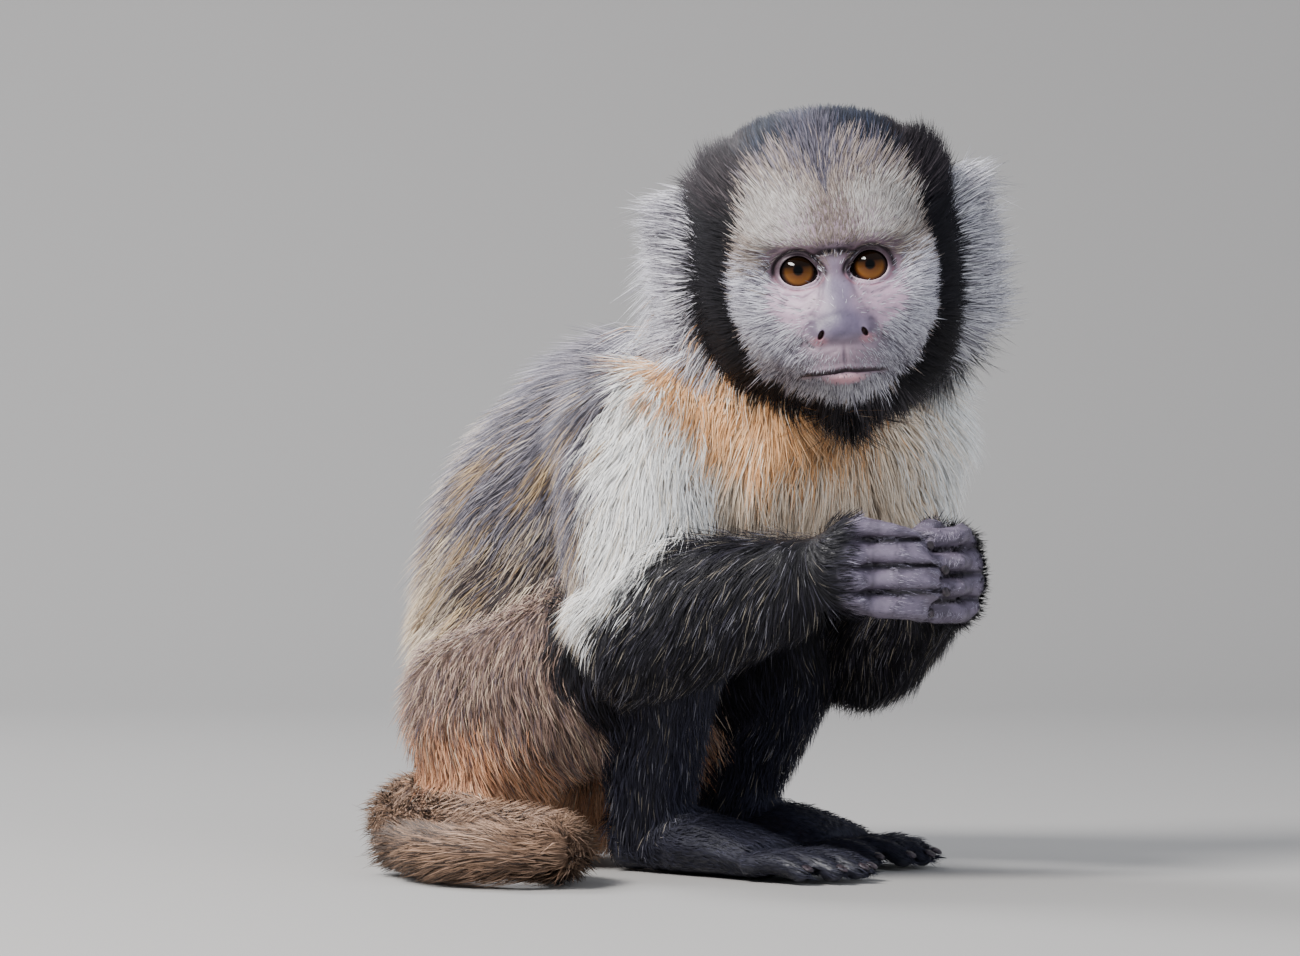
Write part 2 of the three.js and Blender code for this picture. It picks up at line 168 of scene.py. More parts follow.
limb("head", [(12, -61, 224), (12, -63, 204)], [46, 46])
for side, sign in (("R", -1), ("L", 1)):
    ear_middle = np.array(((EAR_ASIDE * sign, EAR_UP, EAR_FORWARD),))
    ear_line = (off_head(ear_middle + ((0, up, 0),))[0] for up in (EAR_HALF_HEIGHT, -EAR_HALF_HEIGHT))
    limb(f"ear_{side}", [(point - own_origin) / MM for point in ear_line], [12, 12])
limb("neck", [(7, -19, 169), (14, -32, 186), (19, -43, 202)], [34, 43, 44])
limb("trunk", [(-8, 64, 20), (-9, 67, 45), (-9, 68, 74), (-8, 58, 108), (-5, 35, 138), (1, 3, 154),
               (7, -28, 152), (9, -46, 146)], [34, 45, 50, 51, 48, 45, 44, 40])
for side, at in JOINTS.items():
    shoulder, elbow, wrist, hip, knee, ankle = at.values()
    limb(f"upper_arm_{side}", [shoulder, part_way(shoulder, elbow, 0.5), part_way(shoulder, elbow, 0.95)],
         [33, 29, 20])
    limb(f"forearm_{side}", [part_way(elbow, wrist, -0.06), part_way(elbow, wrist, 0.35, 3),
                             part_way(elbow, wrist, 0.72, 1), wrist], [24, 25, 21, 17])
    limb(f"hand_{side}", [wrist, *PALM[side]], [15, 14, 13, 10])
    limb(f"thigh_{side}", [hip, part_way(hip, knee, 0.5, 2), knee], [40, 34, 24])
    limb(f"shank_{side}", [knee, part_way(knee, ankle, 0.45), ankle], [23, 22.5, 16])
    foot_way = np.array(turned(FOOT_TURN[side], "Z")) @ (0, -1, 0)
    limb(f"foot_{side}", [(ankle[0] + foot_way[0] * s, ankle[1] + foot_way[1] * s, z)
                          for s, z, _ in FOOT_STATIONS], [r for _, _, r in FOOT_STATIONS])
tail_radii = np.linspace(*TAIL_RADII, len(TAIL_PLAN))
limb("tail", [(x, y, r) for (x, y), r in zip(TAIL_PLAN, tail_radii)], tail_radii)
LIMBS = list(limbs)
HANDS_BEFORE, HANDS_LOW, HANDS_HIGH = -88, 60, 135  # own millimetres, where only hands and wrists lie
FAR_OUT = 9  # half thicknesses


def along_limbs(points):
    """For each point and limb: how far out it lies, in half thicknesses, how far along, and the way there."""
    out = np.full((len(points), len(LIMBS)), np.inf)
    along = np.zeros_like(out)
    way = np.zeros((*out.shape, 3))
    for column, name in enumerate(LIMBS):
        line, radii = limbs[name]
        for i in range(len(line) - 1):
            stretch = line[i + 1] - line[i]
            share = np.clip((points - line[i]) @ stretch / (stretch @ stretch), 0, 1)
            distance = np.linalg.norm(points - line[i] - share[:, None] * stretch, axis=1)
            reach = distance / (radii[i] * (1 - share) + radii[i + 1] * share)
            nearer = reach < out[:, column]
            out[nearer, column] = reach[nearer]
            along[nearer, column] = ((i + share) / (len(line) - 1))[nearer]
            way[nearer, column] = stretch / np.linalg.norm(stretch)
    y, z = ((points - own_origin) / MM)[:, 1:].T
    at_hands = (y < HANDS_BEFORE) & (z > HANDS_LOW) & (z < HANDS_HIGH)
    others = [column for column, name in enumerate(LIMBS) if not name.startswith(("hand", "forearm"))]
    out[np.ix_(at_hands, others)] += FAR_OUT  # or the trunk would own the thumbs
    return out, along, way


LIMB_SHARPNESS = 14


def shares_of(out):
    """How much each limb owns each point. The shares add up to 1, and blend where two limbs meet."""
    weight = np.exp(-LIMB_SHARPNESS * (out - out.min(1, keepdims=True)))
    return weight / weight.sum(1, keepdims=True)


def shares_at(points):
    return shares_of(along_limbs(points)[0])


def per_limb(values, shares):
    """A property of the limbs, blended by their shares. Its names may leave out the side."""
    table = np.array([values[name] if name in values else values[name[:-2]] for name in LIMBS], float)
    return shares @ table


print(len(LIMBS), "limbs:", *LIMBS)

# %% [markdown]
# ## Camera, light and floor
# The camera stands a few metres off with a long lens, as for wildlife, so the limbs keep their true
# proportions. One large soft light high on the camera's left shapes the fur, a weaker one fills the
# shadows, and one behind picks out the rim of the coat.

# %% Camera
CAMERA_AZIMUTH, CAMERA_ELEVATION, CAMERA_DISTANCE = -40, 4, 3.0
STAND_POINT = own(8, 0, 0)  # on the floor, under the animal
FRAME_CENTRE = (-17.54, 136.8)  # mm to the right of that point and above it
FRAME_WIDTH = 456.1  # mm that the picture spans at the animal
SENSOR = 36
azimuth, elevation = math.radians(CAMERA_AZIMUTH), math.radians(CAMERA_ELEVATION)
camera_right = np.array((math.cos(azimuth), math.sin(azimuth), 0))
away = np.array((-math.sin(azimuth), math.cos(azimuth), 0))
toward_camera = np.array((*(-away[:2] * math.cos(elevation)), math.sin(elevation)))
camera_up = np.cross(toward_camera, camera_right)
camera_place = STAND_POINT + toward_camera * CAMERA_DISTANCE
aim = STAND_POINT + (FRAME_CENTRE[0] * camera_right + FRAME_CENTRE[1] * camera_up) * MM

bpy.ops.object.camera_add(location=camera_place)
camera = bpy.context.object
camera.rotation_mode = "QUATERNION"
camera.rotation_quaternion = Vector(aim - camera_place).to_track_quat("-Z", "Y")
camera.data.sensor_width = SENSOR
camera.data.lens = SENSOR * CAMERA_DISTANCE / (FRAME_WIDTH * MM)
camera.data.clip_start, camera.data.clip_end = 0.1, 20  # m
bpy.context.scene.camera = camera


# %% Lights and world
def soft_light(name, place, aim_at, size, power, colour):
    bpy.ops.object.light_add(type="AREA", location=place)
    light = bpy.context.object
    light.name = name
    light.data.shape = "DISK"
    light.data.size = size
    light.data.energy = power
    light.data.color = colour
    light.rotation_mode = "QUATERNION"
    light.rotation_quaternion = (Vector(aim_at) - Vector(place)).to_track_quat("-Z", "Y")
    return light


light_aim = STAND_POINT + np.array((0, 0, 0.15))


def from_camera(right, up, toward):
    return light_aim + right * camera_right + up * np.array((0, 0, 1)) + toward * toward_camera


key_light = soft_light("key_light", from_camera(-0.9, 1.1, 0.95), light_aim, 0.85, 66, (1.0, 0.98, 0.96))
key_light.data.shape, key_light.data.size_y = "ELLIPSE", 0.36
fill_light = soft_light("fill_light", from_camera(0.9, 0.35, 1.3), light_aim, 1.2, 17, (0.9, 0.95, 1.0))
fill_light.visible_glossy = False  # one highlight in each eye is enough
soft_light("rim_light", from_camera(-0.9, 1.2, -0.9), light_aim, 0.8, 30, (0.95, 0.97, 1.0))

world = bpy.data.worlds.new("studio")
world.use_nodes = True
world.node_tree.nodes["Background"].inputs["Color"].default_value = (0.78, 0.85, 1.0, 1)
world.node_tree.nodes["Background"].inputs["Strength"].default_value = 0.5
bpy.context.scene.world = world

# %% [markdown]
# Floor and wall are one sheet of paper, so that no edge shows behind the animal. It starts as a plane,
# whose far edge is extruded up a quarter circle in short steps, and then straight up.

# %% Floor with a curved backdrop
FLOOR_SIDE, FLOOR_BACK, BEND_RADIUS, WALL_HEIGHT = 6.0, 1.1, 0.6, 2.0  # m
BEND_STEPS = 12


def select_vertices(piece, chosen):
    """Opens a piece in edit mode, with only the chosen vertices selected."""
    bpy.ops.object.select_all(action="DESELECT")
    bpy.context.view_layer.objects.active = piece
    bpy.ops.object.mode_set(mode="EDIT")
    bpy.ops.mesh.select_mode(type="VERT")
    bpy.ops.mesh.select_all(action="DESELECT")
    bpy.ops.object.mode_set(mode="OBJECT")
    piece.data.vertices.foreach_set("select", chosen)
    bpy.ops.object.mode_set(mode="EDIT")


def smooth_shading(piece):
    bpy.ops.object.select_all(action="DESELECT")
    piece.select_set(True)
    bpy.context.view_layer.objects.active = piece
    bpy.ops.object.shade_smooth()


bpy.ops.mesh.primitive_plane_add(size=FLOOR_SIDE, rotation=(0, 0, azimuth),
                                 location=STAND_POINT + (FLOOR_BACK - FLOOR_SIDE / 2) * away)
floor = bpy.context.object
floor.name = floor.data.name = "studio_floor"
select_vertices(floor, [vertex.co.y > 0 for vertex in floor.data.vertices])
bend_step = BEND_RADIUS * math.pi / 2 / BEND_STEPS
rises = [((i + 0.5) / BEND_STEPS * math.pi / 2, bend_step) for i in range(BEND_STEPS)]
for rise, length in [*rises, (math.pi / 2, WALL_HEIGHT)]:
    move = Vector(away * math.cos(rise) * length + np.array((0, 0, 1)) * math.sin(rise) * length)
    bpy.ops.mesh.extrude_edges_move(TRANSFORM_OT_translate={"value": move})
bpy.ops.object.mode_set(mode="OBJECT")
smooth_shading(floor)
floor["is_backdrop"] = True

paper = bpy.data.materials.new("backdrop_paper")
paper.use_nodes = True
paper_shader = paper.node_tree.nodes["Principled BSDF"]
paper_shader.inputs["Base Color"].default_value = (0.3, 0.29, 0.28, 1)
paper_shader.inputs["Roughness"].default_value = 0.9
floor.data.materials.append(paper)

# %% [markdown]
# ## One bare skin
# Under the coat an animal has one continuous skin. It could be sculpted from a ball, but here the solids
# hold the pose already, so they are copied, welded into one, and shrunk by the depth of the coat.

# %% Weld the solids of flesh into one
WELD_SWELL = 0.6 * MM  # closes the gaps between the solids
SKIN_VOXEL = 1.15 * MM
FLESH = sorted(n for n in frame["nodes"] if not n.startswith("eye") and "nail" not in n)
EYES = ("eye_L", "eye_R")  # welded in as well, so that the lids have something to be cut from


def apply_modifier(piece, kind, **settings):
    modifier = piece.modifiers.new(kind.title(), kind)
    for setting, value in settings.items():
        setattr(modifier, setting, value)
    bpy.context.view_layer.objects.active = piece
    bpy.ops.object.modifier_apply(modifier=modifier.name)


def copy_joined(nodes, name):
    """One mesh piece from copies of some CAD nodes, with the loose triangles of each merged."""
    bpy.ops.object.select_all(action="DESELECT")
    for node in nodes:
        frame["nodes"][node].select_set(True)
    bpy.context.view_layer.objects.active = frame["nodes"][nodes[0]]
    bpy.ops.object.duplicate()
    bpy.ops.object.join()
    piece = bpy.context.object
    piece.name = piece.data.name = name
    piece.parent = None
    for key in list(piece.keys()):
        del piece[key]
    piece.data.materials.clear()
    bpy.ops.object.mode_set(mode="EDIT")
    bpy.ops.mesh.select_all(action="SELECT")
    bpy.ops.mesh.remove_doubles(threshold=1e-5)
    bpy.ops.object.mode_set(mode="OBJECT")
    return piece


def read(items, field, width=1, kind=np.float32):
    """One property of all the vertices, edges or corners of a mesh, as an array."""
    values = np.empty(len(items) * width, kind)
    items.foreach_get(field, values)
    return values.reshape(-1, width) if width > 1 else values


def vertices_of(piece):
    return read(piece.data.vertices, "co", 3).astype(float)


def normals_of(piece):
    return read(piece.data.vertex_normals, "vector", 3).astype(float)


def move_vertices(piece, places):
    piece.data.vertices.foreach_set("co", places.astype(np.float32).ravel())
    piece.data.update()


skin = copy_joined([*FLESH, *EYES], "skin")
apply_modifier(skin, "DISPLACE", strength=WELD_SWELL, mid_level=0)
apply_modifier(skin, "REMESH", mode="VOXEL", voxel_size=SKIN_VOXEL)


def keep_outer_shell(piece):
    """Deletes the sealed pockets that lie between the solids."""
    heights = vertices_of(piece)[:, 2]
    select_vertices(piece, np.arange(len(heights)) == heights.argmax())
    bpy.ops.mesh.select_linked()
    bpy.ops.mesh.select_all(action="INVERT")
    bpy.ops.mesh.delete(type="VERT")
    bpy.ops.object.mode_set(mode="OBJECT")


keep_outer_shell(skin)
print("welded skin:", len(skin.data.vertices), "vertices")

# %% [markdown]
# The facets of the solids are smoothed away, most on the broad parts and least on the fingers. Then each
# point sinks by as much as the coat is deep there, so that the tips of the hair come out at the outline
# of the solids.

# %% Smooth and sink
SOFTENING = dict(head=0.7, ear=0.8, neck=1, trunk=1, upper_arm=0.8, forearm=0.7, hand=0.03, thigh=0.9,
                 shank=0.7, foot=0.03, tail=0.5)
SOFTENING_STEPS, LAST_SOFTENING_STEPS = 150, 12
COAT_DEPTH = dict(head=5.5, ear=6, neck=9, trunk=9, upper_arm=8, forearm=5.5, hand=0.6, thigh=7.5, shank=5,
                  foot=0.7, tail=6)
FACE_CENTRE, FACE_HALF = (0, -6), (34, 38)  # mm on the head's axes, aside and up
FACE_DEPTH = 1.0
WEIGHT_DEPTH = 10  # mm that a whole weight sinks


def set_weights(piece, name, weights):
    """Stores a number for each vertex, for a modifier to read."""
    group = piece.vertex_groups.new(name=name)
    levels = np.round(np.clip(weights, 0, 1) * 20).astype(int)
    for level in np.unique(levels):
        group.add(np.flatnonzero(levels == level).tolist(), float(level / 20), "REPLACE")


def smooth_step(low, high, values):
    share = np.clip((values - low) / (high - low), 0, 1)
    return share * share * (3 - 2 * share)


def face_share(local):
    """1 on the short-haired face, 0 from its edge outwards."""
    radius = np.hypot(*((local[:, :2] - FACE_CENTRE) / FACE_HALF).T)
    return smooth_step(1.15, 0.8, radius) * smooth_step(0, 12, local[:, 2])


shares = shares_at(vertices_of(skin))
set_weights(skin, "softening", per_limb(SOFTENING, shares))
apply_modifier(skin, "SMOOTH", vertex_group="softening", factor=0.5, iterations=SOFTENING_STEPS)
in_face = face_share(on_head(vertices_of(skin))) * shares[:, LIMBS.index("head")]
depth = per_limb(COAT_DEPTH, shares) * (1 - in_face) + FACE_DEPTH * in_face
set_weights(skin, "depth", depth / WEIGHT_DEPTH)
apply_modifier(skin, "DISPLACE", vertex_group="depth", strength=-WEIGHT_DEPTH * MM - WELD_SWELL, mid_level=0)
apply_modifier(skin, "SMOOTH", vertex_group="softening", factor=0.5, iterations=LAST_SOFTENING_STEPS)
print("skin sunk by", depth.min().round(2), "to", depth.max().round(2), "mm")

# %% [markdown]
# Welding has run the fingers of each hand together. They are parted again by grooves: the further a point
# lies beside the middle line of its finger, the deeper it sinks, as on a row of round bars.

# %% Part the fingers
DIGIT_ROWS = {  # where the row starts, the ways along and across it, and how far apart the fingers are
    "hand_R": dict(end=(-11.5, -106.5, 109), along=(0.77, -0.63, -0.09), across=(0.02, 0.02, -1), spacing=9),
    "hand_L": dict(end=(36, -106.5, 105.5), along=(-0.6, -0.8, 0), across=(0, 0, -1), spacing=8.8),
}
DIGIT_RADIUS = 4.6


def divide(piece, chosen):
    select_vertices(piece, chosen)
    bpy.ops.mesh.subdivide(number_cuts=1)
    bpy.ops.object.mode_set(mode="OBJECT")


def unit(vectors):
    return vectors / np.maximum(np.linalg.norm(vectors, axis=-1, keepdims=True), 1e-9)


def on_row(points, row):
    """Places on a row of digits, in millimetres: along it, and across it from its middle."""
    spot = (points - own(*row["end"])) / MM
    return spot @ unit(np.array(row["along"])), spot @ unit(np.array(row["across"]))


def off_digit(beside, row):
    """How far each place is from the middle line of the nearest of the four digits."""
    nearest = np.clip(np.round(beside / row["spacing"] + 1.5), 0, 3) - 1.5
    return np.abs(beside - nearest * row["spacing"])


def among_digits(beside, row):
    return np.abs(beside) < 1.5 * row["spacing"]


def digit_gap(points, row):
    """1 in the gaps between the digits, 0 on their backs."""
    ahead, beside = on_row(points, row)
    between = smooth_step(2.5, 4.3, off_digit(beside, row)) * among_digits(beside, row)
    return between * smooth_step(-8, 2, ahead)


def part_digits(piece):
    for name, row in DIGIT_ROWS.items():
        places = vertices_of(piece)
        ahead, beside = on_row(places, row)
        here = (ahead > -13) & (np.abs(beside) < 2 * row["spacing"])
        divide(piece, here & (shares_at(places)[:, LIMBS.index(name)] > 0.5))
        places, normals = vertices_of(piece), normals_of(piece)
        ahead, beside = on_row(places, row)
        share = shares_at(places)[:, LIMBS.index(name)]
        inside = np.minimum(off_digit(beside, row), DIGIT_RADIUS - 0.1)
        depth = DIGIT_RADIUS - np.sqrt(DIGIT_RADIUS ** 2 - inside ** 2)
        facing = 1 - np.abs(normals @ unit(np.array(row["across"]))) ** 2
        strength = smooth_step(-12, 2, ahead) * share * facing * among_digits(beside, row)
        move_vertices(piece, places - normals * (depth * strength)[:, None] * MM)


part_digits(skin)
print("fingers parted:", len(skin.data.vertices), "vertices")

# %% [markdown]
# ## The face
# The head gets the most care, because a viewer looks there first. Its skin is divided finer, twice where
# the eyes, nose and mouth are, and then modelled as a sculptor would, by raising and lowering it along the
# way that the face looks. Each swelling or hollow is one row in a table: how far aside and up its middle
# is, its half widths, and how far it rises, all in millimetres. What has a place aside is made on both
# sides. Before that, the rest of the skin is thinned out, because a coat hides it.

# %% Divide the face finer
BODY_KEPT, PAWS_KEPT = 0.1, 0.315  # shares of the triangles


def thin_out(piece, chosen, ratio):
    """Fewer triangles where a part is broad and smooth, and the coat will hide it."""
    select_vertices(piece, chosen)
    bpy.ops.mesh.decimate(ratio=ratio)
    bpy.ops.object.mode_set(mode="OBJECT")


def on_paws(places):
    paws = [LIMBS.index(name) for name in ("hand_R", "hand_L", "foot_R", "foot_L")]
    return shares_at(places)[:, paws].sum(1) > 0.5


places = vertices_of(skin)
local = on_head(places)
face_zone = (np.hypot(local[:, 0] / 37, (local[:, 1] + 8) / 42) < 1) & (local[:, 2] >= 5)
thin_out(skin, ~on_paws(places) & ~face_zone, BODY_KEPT)
thin_out(skin, on_paws(vertices_of(skin)), PAWS_KEPT)
places = vertices_of(skin)
places[:, 2] = np.maximum(places[:, 2], 0)  # what rests on the floor is pressed flat
move_vertices(skin, places)
print("thinned skin:", len(skin.data.vertices), "vertices")

FINE_FACE = [(12.3, -0.5, 12, 10), (0, -22, 17, 10), (0, -35, 19, 6)]  # aside, up, and the half widths


def in_ovals(local, ovals, before):
    """Which places lie in one of the ovals, mirrored, and before a plane through the head."""
    inside = np.zeros(len(local), bool)
    for aside, up, wide, tall in ovals:
        inside |= np.hypot((np.abs(local[:, 0]) - aside) / wide, (local[:, 1] - up) / tall) < 1
    return inside & (local[:, 2] > before)


divide(skin, in_ovals(on_head(vertices_of(skin)), [(0, -8, 34, 38)], 10))

# %% Swell and hollow the face
BROAD_FORMS = [
    (0, -4, 7, 5, -0.9),  # saddle of the nose
    (0, -12, 6.5, 7, 0.9),  # its ridge
    (0, -19.5, 9, 5, 1.2),  # nose pad
    (0, -22, 13, 5, 0.7),  # its wide foot
    (0, -26, 13, 2, -1.0),  # below the nose
    (0, -31, 13, 4, 0.8),  # upper lip
    (0, -43, 12, 5, 2.4),  # chin
    (15, -29, 4, 4, 0.6),  # pads of the muzzle
    (13, 8, 11, 3.5, 1.9),  # brow
    (20.5, -1, 4, 6, -1.4),  # outer corner of the orbit
    (6.0, -1, 2.2, 5, -1.5),  # inner corner of the orbit
    (12, -9.5, 8, 2.6, -0.8),  # under the eye
    (23, -13, 8, 8, 0.8),  # cheek
]


def swell(local, forms):
    rise = np.zeros(len(local))
    for aside, up, wide, tall, height in forms:
        for sign in (1, -1) if aside else (1,):
            x, y = (local[:, 0] - sign * aside) / wide, (local[:, 1] - up) / tall
            rise += height * np.exp(-x ** 2 - y ** 2)
    return rise


def push_forward(piece, rise):
    move_vertices(piece, vertices_of(piece) + rise[:, None] * head_axes[2] * MM)


local = on_head(vertices_of(skin))
push_forward(skin, swell(local, BROAD_FORMS) * smooth_step(8, 20, local[:, 2]))
divide(skin, in_ovals(on_head(vertices_of(skin)), FINE_FACE, 18))

# %% [markdown]
# Fine forms follow: the furrow between the brows, the nostrils, the groove under the nose and the closed
# mouth. Nostrils are true pits, and the mouth is a fold between two lips.

# %% Nose, mouth and brow furrow
FINE_FORMS = [
    (0, 5.6, 6, 0.9, -1.0),  # furrow between the brows
    (3.6, 8.2, 3, 1.8, 0.4),
    (8.6, -21.8, 2.2, 3.0, 1.3),  # wings of the nose
    (4.6, -22.4, 1.6, 2.4, 0.35),  # rims between the nostrils and the pad
    (0, -23, 2.6, 1.6, -0.35),
    (0, -30, 0.7, 3.0, -0.55),  # groove of the upper lip
    (0, -37.6, 6, 1.25, 0.9),  # lower lip
    (0, -40.4, 9, 1.1, -0.5),  # below it
]
NOSTRIL = dict(aside=7.5, up=-22.2, wide=0.95, tall=1.5, lean=0.35, deep=3.2)
MOUTH = dict(up=-35.4, half=15.5, droop=1.3, bow=0.5, deep=1.4, tall=0.5, lip=0.45)
MUZZLE_FOLD = [(14, -24.5), (18.5, -28.5), (20, -34)]
CREASES = [  # lines of places aside and up, half width, depth
    ([(0, -15.2), (7.5, -17), (12.2, -20.5), (14, -24.5), (12.5, -27)], 1.1, 0.18),  # round the nose
    (MUZZLE_FOLD, 1.5, 0.5),
    ([(5.2, -5), (6.4, -10), (9.5, -15.5)], 0.9, 0.4),  # beside the ridge of the nose
    ([(7.5, -7.5), (12, -10), (18, -8.5)], 0.6, 0.3),  # under the eye
    ([(9, -11.5), (14, -13.5), (20, -11.5)], 0.8, 0.25),
    ([(10, -15.5), (15, -17.5), (20, -16)], 0.9, 0.2),
    ([(3.5, 7.2), (9, 9.2), (16, 9), (21, 6)], 0.8, 0.3),  # over the eye
    ([(1.8, 5.5), (4.5, 4.9), (7.5, 4.2)], 0.7, 1.1),  # from the root of the nose to the lid
    ([(3, -28), (8, -30), (12, -32.5)], 0.7, 0.2),  # on the upper lip
]
ALAR_FOLD = dict(aside=9.3, up=-22.4, wide=3.4, tall=4.2, deep=0.55, narrow=0.16)  # behind the nose's wing


def bell(distance, half_width=1):
    """1 in the middle, falling to 0 beside it."""
    return np.exp(-((distance / half_width) ** 2))


def mouth_line(aside):
    """How high the mouth is, which peaks in its middle and sinks at its corners."""
    sunk = MOUTH["droop"] * np.clip(np.abs(aside) / MOUTH["half"], 0, 1.2) ** 2
    return MOUTH["up"] - sunk + MOUTH["bow"] * bell(aside, 2.8)


def in_crease(local, line, half_width):
    """1 in the middle of a crease, on both sides of the face, falling to 0 beside it."""
    spot = np.stack([np.abs(local[:, 0]), local[:, 1]], 1)
    nearest = np.full(len(spot), np.inf)
    for start, end in zip(np.array(line[:-1], float), np.array(line[1:], float)):
        stretch = end - start
        share = np.clip((spot - start) @ stretch / (stretch @ stretch), 0, 1)
        nearest = np.minimum(nearest, np.linalg.norm(spot - start - share[:, None] * stretch, axis=1))
    return bell(nearest, half_width)


def from_nostril(local, sign):
    """Under 1 in the nostril of one side, and 1 at its rim."""
    x, y = local[:, 0] * sign - NOSTRIL["aside"], local[:, 1] - NOSTRIL["up"]
    return np.hypot((x + NOSTRIL["lean"] * y) / NOSTRIL["wide"], y / NOSTRIL["tall"])


def fine_rise(local):
    aside, up = local[:, 0], local[:, 1]
    rise = swell(local, FINE_FORMS)
    for sign in (1, -1):
        rise -= NOSTRIL["deep"] * smooth_step(1.25, 0.55, from_nostril(local, sign))
        x, y = aside * sign - ALAR_FOLD["aside"], up - ALAR_FOLD["up"]
        ring = np.hypot(x / ALAR_FOLD["wide"], y / ALAR_FOLD["tall"]) - 1
        rise -= ALAR_FOLD["deep"] * bell(ring, ALAR_FOLD["narrow"]) * smooth_step(-0.5, 1.5, x)
    lips = smooth_step(MOUTH["half"] + 1.5, MOUTH["half"] - 3, np.abs(aside))
    from_line = up - mouth_line(aside)
    rise -= MOUTH["deep"] * lips * bell(from_line, MOUTH["tall"])
    rise += MOUTH["lip"] * lips * bell(from_line - 1.4)
    for line, half_width, depth in CREASES:
        rise -= depth * in_crease(local, line, half_width)
    return rise


local = on_head(vertices_of(skin))
push_forward(skin, fine_rise(local) * smooth_step(20, 26, local[:, 2]))

# %% [markdown]
# ## Eyelids
# Lids are what makes an eye alive. Modelled as a groove they'd stay soft, so the skin is cut open in the
# outline of the eye instead, and the cut edge is extruded inwards, ring by ring: over the rim of the lid,
# down its wet edge, and back behind the eyeball, where the last ring is drawn together to a point.

# %% Cut and turn in the lids
GAZE = toward_camera  # the eyes look at the viewer
LID_THICKNESS = 0.75
OPENING = dict(out=6.3, inward=6.9, top=5.7, bottom=4.8, shift=(-0.5, 0.5), corner_drop=0.9)
LID_REACH = 1.14  # the skin is cut away to here, in shares of the opening


def opening_radius(angle):
    """The outline of the open eye, by the angle from its outer corner over its top, in radians."""
    x, y = np.cos(angle), np.sin(angle)
    half_width = np.where(x > 0, OPENING["out"], OPENING["inward"])
    half_height = np.where(y > 0, OPENING["top"], OPENING["bottom"])
    power = np.where(x > 0, 2.0, 1.75)
    return (np.abs(x / half_width) ** power + np.abs(y / half_height) ** power) ** (-1 / power)


def about_eye(local, sign):
    """Places relative to the eye's opening: outwards from the nose, and up."""
    x = (local[:, 0] - OPENING["shift"][0]) * sign - EYE_ASIDE
    y = local[:, 1] - EYE_UP - OPENING["shift"][1]
    y = y + OPENING["corner_drop"] * smooth_step(-2, -7, x)
    return x, y


def opening_share(local, sign):
    x, y = about_eye(local, sign)
    return np.hypot(x, y) / opening_radius(np.arctan2(y, x))


def off_eye(angle, share, radius, sign):
    """A place on a ball round the eye's middle, under a share of the opening's outline."""
    reach = opening_radius(angle) * share
    x, y = reach * np.cos(angle), reach * np.sin(angle)
    y = y - OPENING["corner_drop"] * smooth_step(-2, -7, x)
    x, y = sign * x + OPENING["shift"][0], y + OPENING["shift"][1]
    forward = np.sqrt(np.maximum(radius ** 2 - x ** 2 - y ** 2, 0.01))
    return np.stack([sign * EYE_ASIDE + x, EYE_UP + y, EYE_FORWARD + forward], 1)


LID_FOLD = dict(share=1.32, narrow=0.08, deep=0.8)
LOWER_FOLD = dict(share=1.3, narrow=0.06, deep=0.3)
LID_SOFTNESS = 0.5  # mm, of the edge where a lid leaves the ball


def wrap_lids(local, sign):
    """Lays the skin round an opening on the eyeball, with a fold where the upper lid meets the brow."""
    x, y = about_eye(local, sign)
    near = np.hypot(x, y) < 12
    share = np.hypot(x, y) / opening_radius(np.arctan2(y, x))
    off = (local[:, 0] - sign * EYE_ASIDE) ** 2 + (local[:, 1] - EYE_UP) ** 2
    lid = EYE_FORWARD + np.sqrt(np.maximum((EYE_RADIUS + LID_THICKNESS) ** 2 - off, 0))
    over = np.logaddexp(lid / LID_SOFTNESS, (local[:, 2] - 0.4) / LID_SOFTNESS) * LID_SOFTNESS
    blend = smooth_step(1.7, 1.2, share)
    forward = local[:, 2] * (1 - blend) + over * blend
    above = smooth_step(-0.5, 2.5, y)
    for fold, here in ((LID_FOLD, above), (LOWER_FOLD, 1 - above)):
        forward -= fold["deep"] * here * bell(share - fold["share"], fold["narrow"])
    return np.where(near, forward, local[:, 2])


